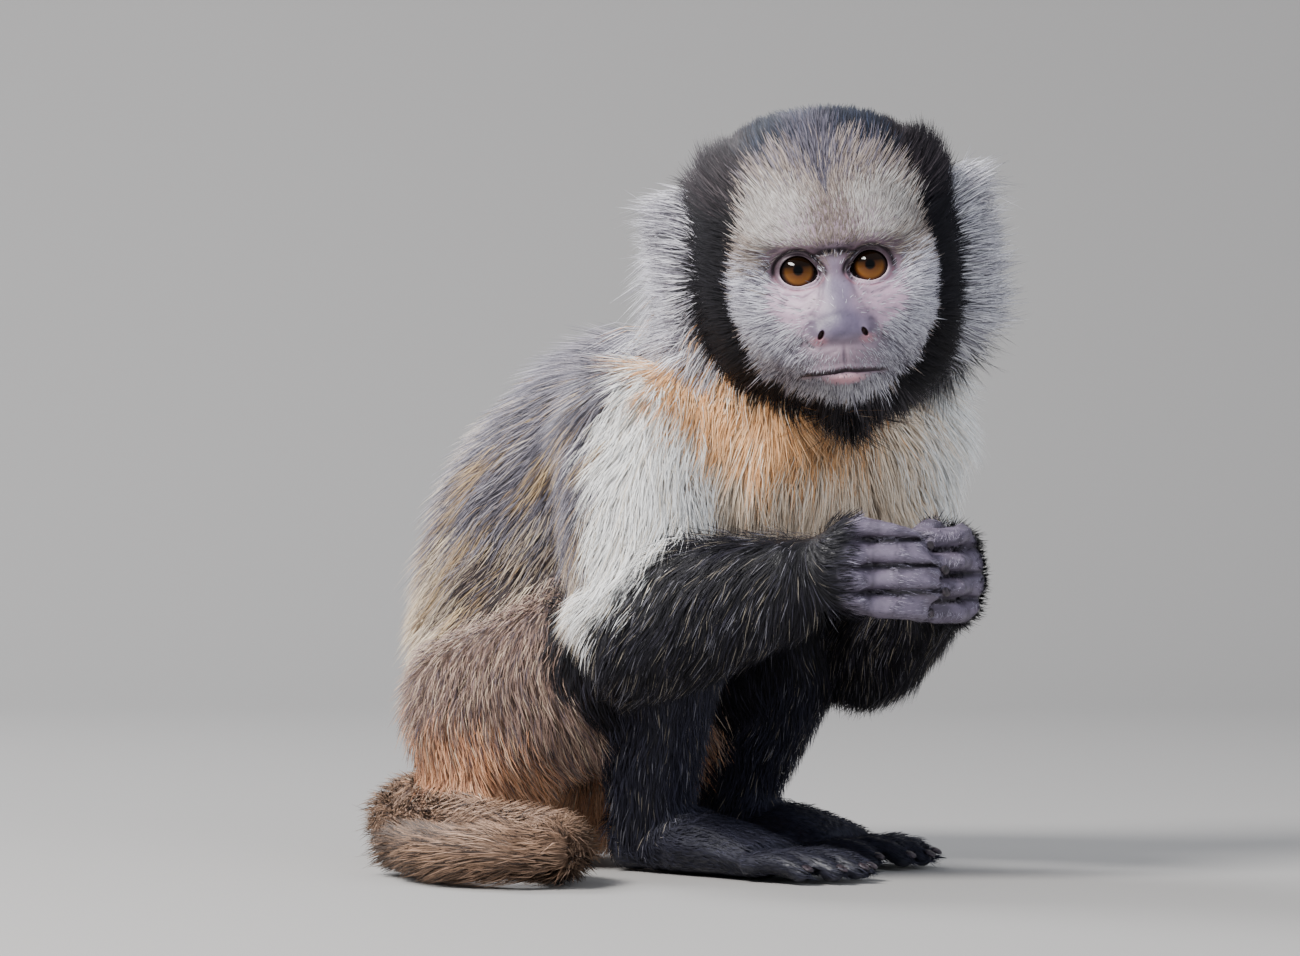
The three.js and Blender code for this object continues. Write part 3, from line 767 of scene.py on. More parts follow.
LID_RINGS = [  # share of the opening, height over the eyeball in millimetres
    (1.05, LID_THICKNESS),
    (1.0, 0.62),
    (0.985, 0.4),
    (0.985, 0.04),
    (1.08, -0.5),
    (0.9, -3.5),
]
for sign in (1, -1):
    local = on_head(vertices_of(skin))
    near_front = local[:, 2] > 25
    local[near_front, 2] = wrap_lids(local[near_front], sign)
    move_vertices(skin, off_head(local))
    select_vertices(skin, (opening_share(local, sign) < LID_REACH) & near_front)
    bpy.ops.mesh.delete(type="VERT")
    bpy.ops.mesh.select_all(action="SELECT")
    bpy.ops.mesh.delete_loose()
    bpy.ops.object.mode_set(mode="OBJECT")
    edge_ends = read(skin.data.edges, "vertices", 2, np.int32)
    edge_of_corner = read(skin.data.loops, "edge_index", kind=np.int32)
    open_edge = np.bincount(edge_of_corner, minlength=len(edge_ends)) == 1
    rim = np.zeros(len(skin.data.vertices), bool)
    rim[edge_ends[open_edge].ravel()] = True
    select_vertices(skin, rim)
    bpy.ops.mesh.select_mode(type="EDGE")
    bpy.ops.object.mode_set(mode="OBJECT")
    skin.data.edges.foreach_set("select", open_edge)
    bpy.ops.object.mode_set(mode="EDIT")
    for step, (share, height) in enumerate([(LID_REACH, LID_THICKNESS), *LID_RINGS]):
        if step:
            bpy.ops.mesh.extrude_edges_move()
        bpy.ops.object.mode_set(mode="OBJECT")
        ring = read(skin.data.vertices, "select", kind=bool)
        local = on_head(vertices_of(skin))
        x, y = about_eye(local[ring], sign)
        local[ring] = off_eye(np.arctan2(y, x), share, EYE_RADIUS + height, sign)
        move_vertices(skin, off_head(local))
        bpy.ops.object.mode_set(mode="EDIT")
    bpy.ops.mesh.extrude_edges_move()
    bpy.ops.mesh.merge(type="CENTER")
    bpy.ops.object.mode_set(mode="OBJECT")
    print("lid rim:", int(rim.sum()), "vertices")
apply_modifier(skin, "TRIANGULATE", quad_method="SHORTEST_DIAGONAL")
print("skin:", len(skin.data.vertices), "vertices,", len(skin.data.polygons), "faces")

# %% [markdown]
# ## Eyes
# A glass eye is a ball with a bulging window. Each one is a sphere turned to look at the viewer. Its
# window is raised by moving its vertices, and the iris is drawn by its distance from the line of sight, which
# is stored on the mesh, so that the pattern is exact and the gloss stays one smooth surface.

# %% Eyeballs
CORNEA_HALF, CORNEA_RISE = 6.0, 0.45  # mm
gaze_turn = Vector(GAZE).to_track_quat("Z", "Y")


def store(piece, name, values):
    """Keeps a number for each vertex, for a material to read."""
    piece.data.attributes.new(name, "FLOAT", "POINT").data.foreach_set("value", values.astype(np.float32))


eyeballs = []
for side, sign in (("L", 1), ("R", -1)):
    bpy.ops.object.select_all(action="DESELECT")
    bpy.ops.mesh.primitive_uv_sphere_add(segments=64, ring_count=48, radius=EYE_RADIUS * MM)
    eyeball = bpy.context.object
    eyeball.name = eyeball.data.name = f"eyeball_{side}"
    eyeball.rotation_mode = "QUATERNION"
    eyeball.rotation_quaternion = gaze_turn
    eyeball.location = middle_of(f"eye_{side}")
    bpy.ops.object.transform_apply(location=True, rotation=True, scale=True)
    places = vertices_of(eyeball)
    spoke = (places - middle_of(f"eye_{side}")) / MM
    ahead = spoke @ GAZE
    off_axis = np.linalg.norm(spoke - ahead[:, None] * GAZE, axis=1)
    bulge = CORNEA_RISE * smooth_step(CORNEA_HALF, 0, off_axis) * (ahead > 0)
    move_vertices(eyeball, places + bulge[:, None] * spoke / EYE_RADIUS * MM)
    store(eyeball, "off_axis", np.where(ahead > 0, off_axis, 2 * EYE_RADIUS))
    store(eyeball, "above", spoke @ head_axes[1])
    bpy.ops.object.shade_smooth()
    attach(eyeball, "root")
    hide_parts(f"eye_{side}")
    eyeballs.append(eyeball)

# %% [markdown]
# ## Markings
# The skin and the coat have to carry the same markings, so they share one list of layers, from the bottom
# up. A layer says where it lies, as a share from 0 to 1 at each place, and which tones its hairs have. The
# skin takes the mean tone of what lies on it. Each lock of the coat takes one tone by chance, so a border
# between two layers is ragged, as it is in fur.

# %% What a place on the animal is like
STREAK_WAY = np.array((-0.1, 0.62, -0.78))  # the back is streaked along this


def tint(code):
    """A colour as Blender reckons with it, from the six figures that a paint chart gives."""
    shown = np.array([int(code[i:i + 2], 16) for i in (0, 2, 4)]) / 255
    return np.where(shown <= 0.04045, shown / 12.92, ((shown + 0.055) / 1.055) ** 2.4)


def ripple(points, wavelength, seed):
    """Smooth, repeatable waves of about that many millimetres, from -1 to 1, through space."""
    waves = np.random.default_rng(seed)
    total = np.zeros(len(points))
    for _ in range(5):
        way = waves.normal(size=3)
        way *= 2 * np.pi / (np.linalg.norm(way) * wavelength * MM * waves.uniform(0.7, 1.5))
        total += np.sin(points @ way + waves.uniform(0, 2 * np.pi))
    return total / 3


class Survey:
    """What the marking and coat functions need to know about some places on the skin."""

    def __init__(self, points, normals):
        self.points, self.normals = points, normals
        self.out, self.along, self.way = along_limbs(points)
        self.shares = shares_of(self.out)
        self.x, self.y, self.z = ((points - own_origin) / MM).T
        self.local = on_head(points)
        self.aside, self.up, self.forward = self.local.T
        self.head = self.share("head") + self.share("ear")
        self.ragged = ripple(points, 9, 5)
        self.streak = ripple(points - 0.88 * (points @ STREAK_WAY)[:, None] * STREAK_WAY, 8.5, 8)

    def columns(self, name):
        return [i for i, limb_name in enumerate(LIMBS) if limb_name == name or limb_name[:-2] == name]

    def share(self, name):
        """How much a limb, or a limb of either side, owns each place."""
        return self.shares[:, self.columns(name)].sum(1)

    def how_far(self, name):
        """How far along a limb each place is, on whichever side is nearer."""
        found = np.array(self.columns(name))
        return self.along[np.arange(len(self.x)), found[self.out[:, found].argmin(1)]]


# %% Where each marking lies
PALE_FACE = dict(half=33, top=41, bottom=44, top_power=2.9, bottom_power=2.35)


def face_edge(p):
    """Under 1 on the pale face, 1 at its edge, and more on the black ruff and cap round it."""
    power = np.where(p.up > 0, PALE_FACE["top_power"], PALE_FACE["bottom_power"])
    height = np.where(p.up > 0, PALE_FACE["top"], PALE_FACE["bottom"])
    half = PALE_FACE["half"] - 2 * smooth_step(-5, 12, p.up)
    return (np.abs(p.aside / half) ** power + np.abs(p.up / height) ** power) ** (1 / power)


def on_face(p):
    soft = 0.05 + 0.13 * smooth_step(0, 30, p.up)
    edge = smooth_step(0.5, -0.5, (face_edge(p) - 1 + 0.3 * soft + 0.02 * p.ragged) / soft)
    return edge * smooth_step(-2, 6, p.forward)


def patch(p, aside, up, wide, tall, soft=0.35):
    """An oval on the front of the head, mirrored if it has a place aside."""
    x = np.abs(p.aside) - aside if aside else p.aside
    return smooth_step(1 + soft, 1 - soft, np.hypot(x / wide, (p.up - up) / tall)) * (p.forward > 8)


def widows_peak(p):
    half = 6.5 * np.clip((p.up - 23) / 18, 0, 1) ** 1.2 + 0.4
    middle = p.aside + 1.5 + 0.12 * (p.up - 30)
    return 0.75 * smooth_step(1.8, 0.3, np.abs(middle) / half) * (p.up > 23) * (p.forward > 0)


# dark hair along the upper lip, with the shade over the mouth's slit painted in
def lip_hair_and_shade(p):
    line = smooth_step(1.7, 0.9, np.abs(p.up - mouth_line(p.aside) - 0.4))
    return line * smooth_step(16, 12, np.abs(p.aside)) * (p.forward > 20)


def head_hair(p):
    return smooth_step(0.25, 0.55, p.head)


def in_front(p):
    """The part of neck, chest and shoulders before the line where the dark back begins."""
    behind = p.y + 16 + 0.4 * (np.abs(p.x) - 26) + 3 * p.ragged + 4 * p.streak
    nape = p.share("neck") * smooth_step(-30, -37, p.forward + 2 * p.ragged)
    here = p.share("upper_arm") + p.share("forearm") + p.share("neck") + p.share("trunk") * (p.z > 100)
    return (here - nape) * smooth_step(4, -4, behind)


def breast(p):
    """Between the shoulders, from the beard down."""
    return in_front(p) * smooth_step(46, 26, np.abs(p.aside + 10) + 3 * p.ragged) * smooth_step(0, -25, p.up)


def by_the_beard(p):
    """Gold under the chin, most of it towards the animal's right."""
    outline = smooth_step(1.5, 1.1, np.hypot((p.aside + 10) / 47, (p.up + 4) / 48) + 0.06 * p.ragged)
    return in_front(p) * outline * smooth_step(0, -18, p.up) * smooth_step(22, -5, p.aside)


def silver_sides(p):
    """Round and below the ears."""
    low = smooth_step(-8, -26, p.up)
    wide = smooth_step(30, 35, np.abs(p.aside) + 6 * low)
    tall = smooth_step(-44, -30, p.up) * smooth_step(28, 17, p.up)
    behind_face = p.head * smooth_step(-4, -7, p.forward - 11 * low)
    here = behind_face + p.share("neck") * smooth_step(10, 4, p.forward)
    return wide * tall * smooth_step(-30, -24, p.forward) * here


def ears(p):
    return np.maximum(smooth_step(0.2, 0.5, p.share("ear")), p.head * smooth_step(42, 44.5, np.abs(p.aside)))


def mantle(p):
    back = p.share("trunk") + p.share("upper_arm") + p.share("neck")
    return back * smooth_step(95, 130, p.z + 16 * p.streak)


def golden_streaks(p):
    here = p.share("trunk") + p.share("upper_arm")
    return 0.8 * here * smooth_step(-0.2, 1.1, p.streak) * smooth_step(178, 150, p.z)


def flank_hair_and_shade(p):
    """Darker hair between elbow and haunch, which shows through the streaks, with the shade under the elbow
    painted in.
    """
    middle = smooth_step(1.2, 0.5, np.hypot((p.y - 30) / 30, (p.z - 98) / 20) + 0.3 * p.streak)
    return 0.8 * p.share("trunk") * smooth_step(20, 34, np.abs(p.x)) * middle


def spine(p):
    middle = smooth_step(34, 16, np.abs(p.x + 8) + 6 * p.streak)
    return 0.75 * p.share("trunk") * middle * smooth_step(172, 145, p.z)


ELBOW_CUT = np.array((0.77, -0.65, 119))  # the height where the pale arm turns dark, by x, y and 1


def dark_limbs(p):
    lower_arm = p.share("forearm") + p.share("upper_arm") * (p.z < 145)
    x = np.where(p.x < 8, p.x, 1 - p.x)  # as if all were the right arm
    arm = lower_arm * smooth_step(7, -7, p.z - ELBOW_CUT @ (x, p.y, np.ones(len(x))) + 5 * p.ragged)
    leg = p.share("thigh") * smooth_step(0.5, 0.66, p.how_far("thigh") + 0.05 * p.ragged)
    return p.share("hand") + p.share("foot") + p.share("shank") + arm + leg


def ticked(p):
    """Single pale hairs among the black ones."""
    return 0.11 * (p.share("forearm") + 0.6 * p.share("shank") + p.share("upper_arm") * (p.z < 110))


def on_digits(p):
    """1 on the fingers, 0 from a little behind their knuckles."""
    total = np.zeros(len(p.x))
    for name, row in DIGIT_ROWS.items():
        ahead = (p.points - own(*row["end"])) @ np.array(row["along"]) / MM
        total += p.shares[:, LIMBS.index(name)] * smooth_step(-7, -1, ahead + p.ragged)
    return total


# %% [markdown]
# The layers follow as a table. Each tone is written as the six figures of a paint chart, with how common it
# is, so that a coat of several tones looks grizzled from afar, as the real one does. A few layers are
# painted shade, in the folds of the face, over the lip and behind the elbow, and the cap carries a painted
# sheen.

# %% The layers, from the bottom up
TIPS_ONLY = 0


def pale_face(p):
    return p.head * on_face(p)


def on_pale_face(*oval, strength=1.0):
    """A marking in an oval of the pale face."""
    return lambda p: pale_face(p) * patch(p, *oval) * strength


LAYERS = [  # where, tones with how common each is, and how much paler the tips are than the middle
    (lambda p: np.ones(len(p.x)), [("b8a795", 4), ("d2bfa9", 4), ("e6d2b3", 2), ("897c75", 2)], 1.25),
    (mantle, [("5a5760", 5), ("7d7982", 4), ("a19ba0", 2), ("3c3a42", 3)], 1.3),
    (golden_streaks, [("a88d6e", 3), ("c2a882", 3), ("837163", 2)], 1.2),
    (spine, [("aca198", 4), ("c4b7a6", 3), ("857c79", 2)], 1.3),
    # darker hair behind the elbow, partly painted shade
    (flank_hair_and_shade, [("40383a", 4), ("5b4f4b", 3), ("2c2729", 2)], 1.3),
    (lambda p: p.share("thigh"), [("896f64", 4), ("a38a7a", 3), ("5a4e52", 3), ("c4ae97", 1)], 1.3),
    (lambda p: (p.share("thigh") + p.share("trunk")) * smooth_step(62, 38, p.z) * smooth_step(0, 40, p.y),
     [("d59a74", 4), ("e8b691", 3), ("a97b63", 2)], 1.2),
    (in_front, [("fdfbf8", 8), ("f8f4ee", 3), ("eaddca", 1)], 1.0),
    (breast, [("f6e4d0", 4), ("efd8bf", 4), ("ddc0a2", 1)], 1.03),
    (by_the_beard, [("dfa672", 4), ("ebbd90", 3), ("c68c5c", 1)], 1.1),
    (dark_limbs, [("0f0e13", 8), ("1a1820", 4), ("302e39", 1)], 1.4),
    (lambda p: p.share("shank") + p.share("foot"), [("1e1e28", 6), ("2d2d3a", 4)], 1.4),
    (ticked, [("9b9182", 3), ("8b8992", 3)], TIPS_ONLY),
    (lambda p: p.share("tail"), [("977963", 4), ("7d6250", 4), ("b0907a", 2), ("3c302b", 2)], 1.2),
    (lambda p: p.share("tail") * smooth_step(0.6, 0.95, p.how_far("tail")),
     [("44372f", 5), ("6e5644", 3)], 1.4),
    (head_hair, [("100e12", 8), ("1b191e", 3)], 1.3),
    # the cap on the crown: bluish black hair, its blue partly a painted sheen of the sky
    (lambda p: p.share("head") * smooth_step(24, 36, p.up) * smooth_step(34, 20, np.abs(p.aside + 3)),
     [("1b1d27", 5), ("282c38", 4), ("383f52", 1)], 1.25),
    (lambda p: p.share("head") * smooth_step(13, 24, p.up) * smooth_step(18, 28, np.abs(p.aside)),
     [("1e1a1e", 5), ("2e282c", 3), ("453e41", 1)], 1.3),
    (lambda p: p.head * smooth_step(-38, -47, p.up), [("393539", 5), ("4c474b", 3), ("221f23", 3)], 1.2),
    (pale_face, [("9c8f86", 4), ("8a7d75", 3), ("675c5a", 3)], 1.15),
    (lambda p: pale_face(p) * smooth_step(20, 38, p.up) * 0.55, [("7d767e", 4), ("645e69", 3)], 1.15),
    (on_pale_face(17, 17, 14, 10, 0.5), [("b5b0ac", 4), ("9c948e", 3), ("7a7271", 1)], 1.12),
    (on_pale_face(0, 12, 8, 13, 0.6, strength=0.8), [("7d7068", 3), ("685b55", 3)], 1.1),
    (lambda p: pale_face(p) * smooth_step(8, -6, p.up), [("c3c1ca", 6), ("9d99a4", 3), ("67626d", 2)], 1.15),
    (on_pale_face(0, -28, 19, 9, 0.5, strength=0.75), [("9b96a0", 4), ("837e88", 3), ("b9b5bf", 2)], 1.15),
    (on_pale_face(0, -43, 15, 4.5, 0.6, strength=0.85), [("d3d0d7", 5), ("aaa6b0", 2)], 1.12),
    # painted shade of the muzzle's fold, on the hair over it
    (lambda p: pale_face(p) * in_crease(p.local, MUZZLE_FOLD, 1.8) * 0.55,
     [("716c77", 3), ("5f5a66", 1)], 1.1),
    (lambda p: p.head * widows_peak(p), [("494651", 5), ("625e68", 2)], 1.25),
    # painted shade of the furrow between the brows, on the hair there
    (lambda p: p.head * patch(p, 0, 5.6, 7, 1.6), [("4a4048", 3), ("6b5d62", 2)], 1.1),
    # dark lip hair and painted shade over the mouth
    (lambda p: p.head * lip_hair_and_shade(p), [("4c444b", 4), ("6e646b", 2)], 1.1),
    (lambda p: ears(p) + silver_sides(p), [("e2e0e6", 5), ("bfbcc5", 4), ("7c7882", 2)], 1.1),
    (on_digits, [("7f7888", 4), ("9b94a4", 3), ("4a4351", 3)], 1.2),
]


def lay_markings(p, chance=None):
    """The mean colour of each place, or, with a random generator, one tone and its paler tip for each."""
    colour = np.zeros((len(p.x), 3))
    tip = np.zeros((len(p.x), 3))
    for where, tones, paler in LAYERS:
        shades = np.array([tint(code) for code, _ in tones])
        common = np.array([weight for _, weight in tones], float)
        common /= common.sum()
        cover = np.clip(where(p), 0, 1)
        if chance is None:
            colour += (common @ shades - colour) * (cover * (paler != TIPS_ONLY))[:, None]
            continue
        chosen = chance.random(len(cover)) < cover
        tone = shades[chance.choice(len(shades), len(cover), p=common)]
        if paler == TIPS_ONLY:
            tip[chosen] = tone[chosen]
            continue
        colour[chosen], tip[chosen] = tone[chosen], np.minimum(tone[chosen] * paler, 0.95)
    return colour, tip


# %% [markdown]
# ## The colour of the bare skin, and painted shade
# Where the coat is thin, the skin shows: mauve round the eyes, blue-grey on the nose, pink on the lower
# lip, and grey-mauve on the fingers. Shade is painted into it as well: in the creases of the face, the
# furrow between the brows, the fold of the upper lid, under the brows and in the corners of the eyes, on
# the wings of the nose and beside the muzzle, in the nostrils and the slit of the mouth, and between the
# fingers.

# %% Skin colours and painted shade
# bare skin colours, and painted shade in the hollows and folds of the face
SKIN_AND_SHADE_PATCHES = [  # colour, aside, up, half widths, strength
    ("a98d9f", 12, -11, 14, 11, 0.85),
    ("5d566c", 0, -6, 6, 10, 0.85),
    ("50495f", 0, -19, 11, 6.5, 0.9),
    # painted shade on the wings of the nose, beside its pad
    ("4d4556", 9.6, -20, 2.4, 3.8, 0.6),
    ("776470", 0, -29.5, 14, 5, 0.85),
    # darker grey beside the upper lip, partly painted shade of the muzzle's fold
    ("5f5560", 16, -30, 5, 7, 0.7),
    ("a8717a", 8.4, -24.4, 2.6, 1.5, 0.6),
    # painted shade under the brows, above the eyes
    ("45353e", 13, 5.8, 11.5, 3.6, 0.9),
    # painted shade in the inner corners of the eyes
    ("4c3c46", 5.6, 0.5, 2.2, 4.5, 0.6),
    # painted shade in the outer corners of the eyes
    ("5d4b56", 21.5, 2, 3.5, 6, 0.7),
    # painted shade in the furrow between the brows
    ("2a2228", 0, 5.0, 7.5, 1.5, 0.85),
    # painted shade in the groove of the upper lip
    ("4c3d48", 0, -30.5, 0.8, 3.4, 0.7),
    ("cf9ca5", 0, -38, 6.5, 1.8, 0.9),
]
BARE_PAW, BARE_FACE = tint("655c6c"), tint("8d7886")
# lid colours: the pale rim of the lower lid, mauve lid skin with painted shade above the eye, painted shade
# over the upper lid, and painted shade in its fold
LID_EDGE, LID_SKIN_AND_SHADE, LID_SHADE, LID_CREASE_SHADE = tint("b59da8"), tint("6b5560"), tint("2b1f25"), tint("1e1419")
LID_PINK = tint("8f5c68")
# the creases over the knuckles, where shade is painted
KNUCKLE_LINES = (3, 4.4, 5.8, 12.5, 14, 15.5)  # mm ahead of the start of the row
# painted shade: in the slit of the closed mouth, and deep in the nostrils
MOUTH_SLIT_SHADE, NOSTRIL_SHADE = tint("3b2d33"), tint("3d1f1c")
UNDER_COAT = 0.8  # how dark the skin is under its fur


def eye_share(p, sign):
    """Under 1 in the opening of one eye, and more outside it."""
    return np.where(p.forward > 25, opening_share(p.local, sign), 9)


def skin_colours_and_shade(p):
    colour = lay_markings(p)[0] * UNDER_COAT
    front = p.forward > 20

    def tinge(tone, share):
        colour[:] += (tone - colour) * share[:, None]

    # darkens the colour where shade is painted
    def paint_shade(share):
        colour[:] *= 1 - share[:, None]

    tinge(BARE_PAW, on_digits(p))
    tinge(BARE_FACE, 0.75 * p.share("head") * face_share(p.local))
    for code, *oval, strength in SKIN_AND_SHADE_PATCHES:
        tinge(tint(code), patch(p, *oval, 0.6) * strength)
    for sign in (1, -1):
        share, y = eye_share(p, sign), about_eye(p.local, sign)[1]
        # mauve lid skin, strongest above the eye, where the shade under the brow is painted in
        tinge(LID_SKIN_AND_SHADE, smooth_step(2.1, 1.2, share) * smooth_step(-6, 2, y) * 0.85)
        tinge(LID_EDGE, smooth_step(1.11, 1.04, share) * smooth_step(0, -2, y))
        tinge(LID_SHADE, smooth_step(1.4, 1.05, share) * smooth_step(-1, 2, y) * 0.8)
        # painted shade in the fold of the upper lid
        tinge(LID_CREASE_SHADE, bell(share - LID_FOLD["share"], 0.15) * smooth_step(-2.5, 0.5, y))
        tinge(LID_PINK, bell(share - LOWER_FOLD["share"], 0.07) * smooth_step(0, -2, y) * 0.6)
        # painted shade deep in the nostril pits
        tinge(NOSTRIL_SHADE, smooth_step(1.25, 0.85, from_nostril(p.local, sign)) * front * 0.9)
    # painted shade in the creases of the face
    for line, half_width, depth in CREASES:
        paint_shade(0.6 * depth * in_crease(p.local, line, half_width * 1.2) * front)
    # painted shade between the fingers and in the creases over the knuckles
    for name, row in DIGIT_ROWS.items():
        here = p.shares[:, LIMBS.index(name)]
        gap = digit_gap(p.points, row) * here
        ahead = on_row(p.points, row)[0] - 0.6 * p.ragged
        paint_shade(0.9 * gap + 0.4 * here * (1 - gap) * sum(bell(ahead - at, 0.45) for at in KNUCKLE_LINES))
    # painted shade in the slit of the closed mouth
    lips = smooth_step(MOUTH["half"] + 1, MOUTH["half"] - 2, np.abs(p.aside)) * front
    tinge(MOUTH_SLIT_SHADE, 0.95 * lips * smooth_step(0.99, 0.385, np.abs(p.up - mouth_line(p.aside))))
    return colour


def store_colours(piece, name, colours):
    rgba = np.ones((len(colours), 4), np.float32)
    rgba[:, :3] = colours
    piece.data.attributes.new(name, "FLOAT_COLOR", "POINT").data.foreach_set("color", rgba.ravel())


smooth_shading(skin)
skin_places, skin_normals = vertices_of(skin), normals_of(skin)
skin_survey = Survey(skin_places, skin_normals)
store_colours(skin, "marking", skin_colours_and_shade(skin_survey))
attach(skin, "root")
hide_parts(*FLESH)

# %% [markdown]
# ## Where the locks grow
# The roots are strewn over the skin's triangles, each in proportion to its area and to how dense the coat
# is there. None grow where the animal is pressed to the floor.

# %% Strew the roots
LOCKS_PER_MM2 = dict(head=2.7, ear=2.4, neck=1.95, trunk=1.2, upper_arm=1.8, forearm=1.5, hand=1.0, thigh=1.0,
                     shank=1.1, foot=0.9, tail=1.25)
FACE_LOCKS_PER_MM2 = 5.4
DIGIT_LOCKS_PER_MM2 = 1.1
PRESSED = 2.5  # mm over the floor
chance = np.random.default_rng(20)
BARE_PATCHES = [  # share of the hair that is missing, aside, up, half widths, softness of the edge
    (0.985, 0, -19.5, 12, 6.5), (0.93, 0, -6, 5.5, 10), (0.9, 11, -11, 12, 9), (0.8, 13, 4.8, 10, 3.2),
    (0.9, 4, 4.9, 5.5, 1.3), (0.85, 0, -26, 12, 6, 0.6), (0.45, 0, -32, 11, 4, 0.6), (0.95, 0, -37.9, 7, 1.8),
]


def bareness(p):
    """How much of its fine hair each place of the face keeps."""
    keep = np.ones(len(p.x))
    for sign in (1, -1):
        keep *= smooth_step(1.12, 1.4, eye_share(p, sign))
    for lost, *oval in BARE_PATCHES:
        keep *= 1 - lost * patch(p, *oval)
    from_mouth = np.abs(p.up - mouth_line(p.aside))
    keep *= 1 - 0.9 * smooth_step(1.3, 0.6, from_mouth) * (np.abs(p.aside) < MOUTH["half"]) * (p.forward > 20)
    return keep


def lock_density(p):
    per_mm2 = per_limb(LOCKS_PER_MM2, p.shares)
    digits = on_digits(p)
    per_mm2 = per_mm2 * (1 - digits) + DIGIT_LOCKS_PER_MM2 * digits
    fine = p.head * face_share(p.local)
    return (per_mm2 * (1 - fine) + FACE_LOCKS_PER_MM2 * fine) * bareness(p)


skin.data.calc_loop_triangles()
corners = read(skin.data.loop_triangles, "vertices", 3, np.int32)
corners = np.unique(np.sort(corners, 1), axis=0)  # the same order in each run
a, b, c = (skin_places[corners[:, i]] for i in range(3))
area_mm2 = np.linalg.norm(np.cross(b - a, c - a), axis=1) / 2 / MM ** 2
wanted = area_mm2 * lock_density(skin_survey)[corners].mean(1)
counts = np.floor(wanted + chance.random(len(wanted))).astype(int)
home = np.repeat(np.arange(len(counts)), counts)
first, second = chance.random((2, len(home)))
over = first + second > 1
first[over], second[over] = 1 - first[over], 1 - second[over]
mixing = np.stack([1 - first - second, first, second], 1)[:, :, None]
roots = (skin_places[corners[home]] * mixing).sum(1)
root_normals = (skin_normals[corners[home]] * mixing).sum(1)
root_normals /= np.linalg.norm(root_normals, axis=1, keepdims=True)
grown = (roots[:, 2] > PRESSED * MM) | (root_normals[:, 2] > -0.3)
roots, root_normals = roots[grown], root_normals[grown]
coat = Survey(roots, root_normals)
print("skin triangles:", len(corners), " locks:", len(roots), "on", round(area_mm2.sum() / 100), "cm2")

# %% [markdown]
# ## The lie of the coat
# Hair points away from the nose over the head, away from the throat over neck, back and shoulders, and
# down or along the limbs elsewhere. The ways of neighbouring limbs are mixed by the same shares as
# everything else, pressed flat onto the skin, and stirred a little, so that the locks gather in strands.

# %% Which way each lock points
DOWN = np.array((0, 0, -1))
ALONG = dict(upper_arm=0.5, forearm=-0.45, hand=1, thigh=0.5, shank=0.8, foot=1, tail=1)
SAG = dict(head=0, ear=0, neck=0.3, trunk=0.3, upper_arm=0.3, forearm=1, hand=0.1, thigh=1.1, shank=0.4,
           foot=0, tail=0.1)
FACE_HUB_UP = -10
COAT_HUB = own(14, -42, 214)
NAPE_WAY = np.array((-0.1, 0.5, -1.0))


def lie_of_coat(p):
    ways = p.way.copy()
    for column, name in enumerate(LIMBS):
        ways[:, column] *= ALONG.get(name, ALONG.get(name[:-2], 0))
    from_hub = unit(p.points - COAT_HUB)
    ways[:, LIMBS.index("trunk")] = from_hub
    ways[:, LIMBS.index("neck")] = from_hub + 2 * smooth_step(-18, -40, p.forward)[:, None] * NAPE_WAY
    for side in "RL":
        ways[:, LIMBS.index(f"upper_arm_{side}")] += 0.7 * from_hub
    head_way = np.stack([p.aside / 18, (p.up - FACE_HUB_UP) / 18, np.full(len(p.x), -0.9)], 1)
    head_way[:, 1] -= 1.6 * smooth_step(5, -25, p.forward)
    ways[:, LIMBS.index("head")] = unit(head_way) @ head_axes
    for side, sign in (("R", -1), ("L", 1)):
        fringe = np.stack([np.full(len(p.x), sign * 1.0), (p.up - EAR_UP) / 70 + 0.05,
                           -0.2 + (p.forward - EAR_FORWARD) / 40], 1)
        ways[:, LIMBS.index(f"ear_{side}")] = unit(fringe) @ head_axes
    flow = (ways * p.shares[:, :, None]).sum(1) + per_limb(SAG, p.shares)[:, None] * DOWN
    flow = unit(flow - (flow * p.normals).sum(1, keepdims=True) * p.normals)
    across = np.cross(p.normals, flow)
    swirl = 0.25 * ripple(p.points, 18, 1) + 0.1 * ripple(p.points, 7, 2)
    return unit(flow + across * swirl[:, None])


flow = lie_of_coat(coat)

# %% [markdown]
# ## A lock of hair
# Each lock is a slim three-sided spindle of six faces, closed at both ends: a point in the skin, a ring
# before its middle, and a point at the tip. It leaves the skin at a slant and bends over to lie along it.

# %% Length, breadth and height of the locks
LOCK_LENGTH = dict(head=9, ear=15, neck=23, trunk=21, upper_arm=20, forearm=13, hand=8, thigh=11.5,
                   shank=9, foot=6, tail=15)
LOCK_WIDTH = dict(head=0.32, ear=0.32, neck=0.34, trunk=0.38, upper_arm=0.34, forearm=0.33, hand=0.32,
                  thigh=0.41, shank=0.37, foot=0.34, tail=0.43)
LOFT = dict(head=1, ear=1.3, neck=1.3, trunk=1.25, upper_arm=1.3, forearm=1.1, hand=2, thigh=1.1,
            shank=1.05, foot=2.4, tail=1.15)  # how high a lock stands, in depths of the coat
FACE_LENGTH, FACE_WIDTH, FACE_RISE = 3.2, 0.25, 0.9
CHEEK_LENGTH = 9.5  # at the edge of the face
JAW_LENGTH, BEARD_LENGTH = 15, 21  # of the black hair under cheeks and chin
FRINGE_LENGTH = 15  # of the silver hair round the ears
DIGIT_LENGTH, DIGIT_WIDTH, DIGIT_RISE = 3.4, 0.22, 0.25
SINK = 0.35  # mm, how deep a root sits in the skin
RING_AT = 0.42  # of the length


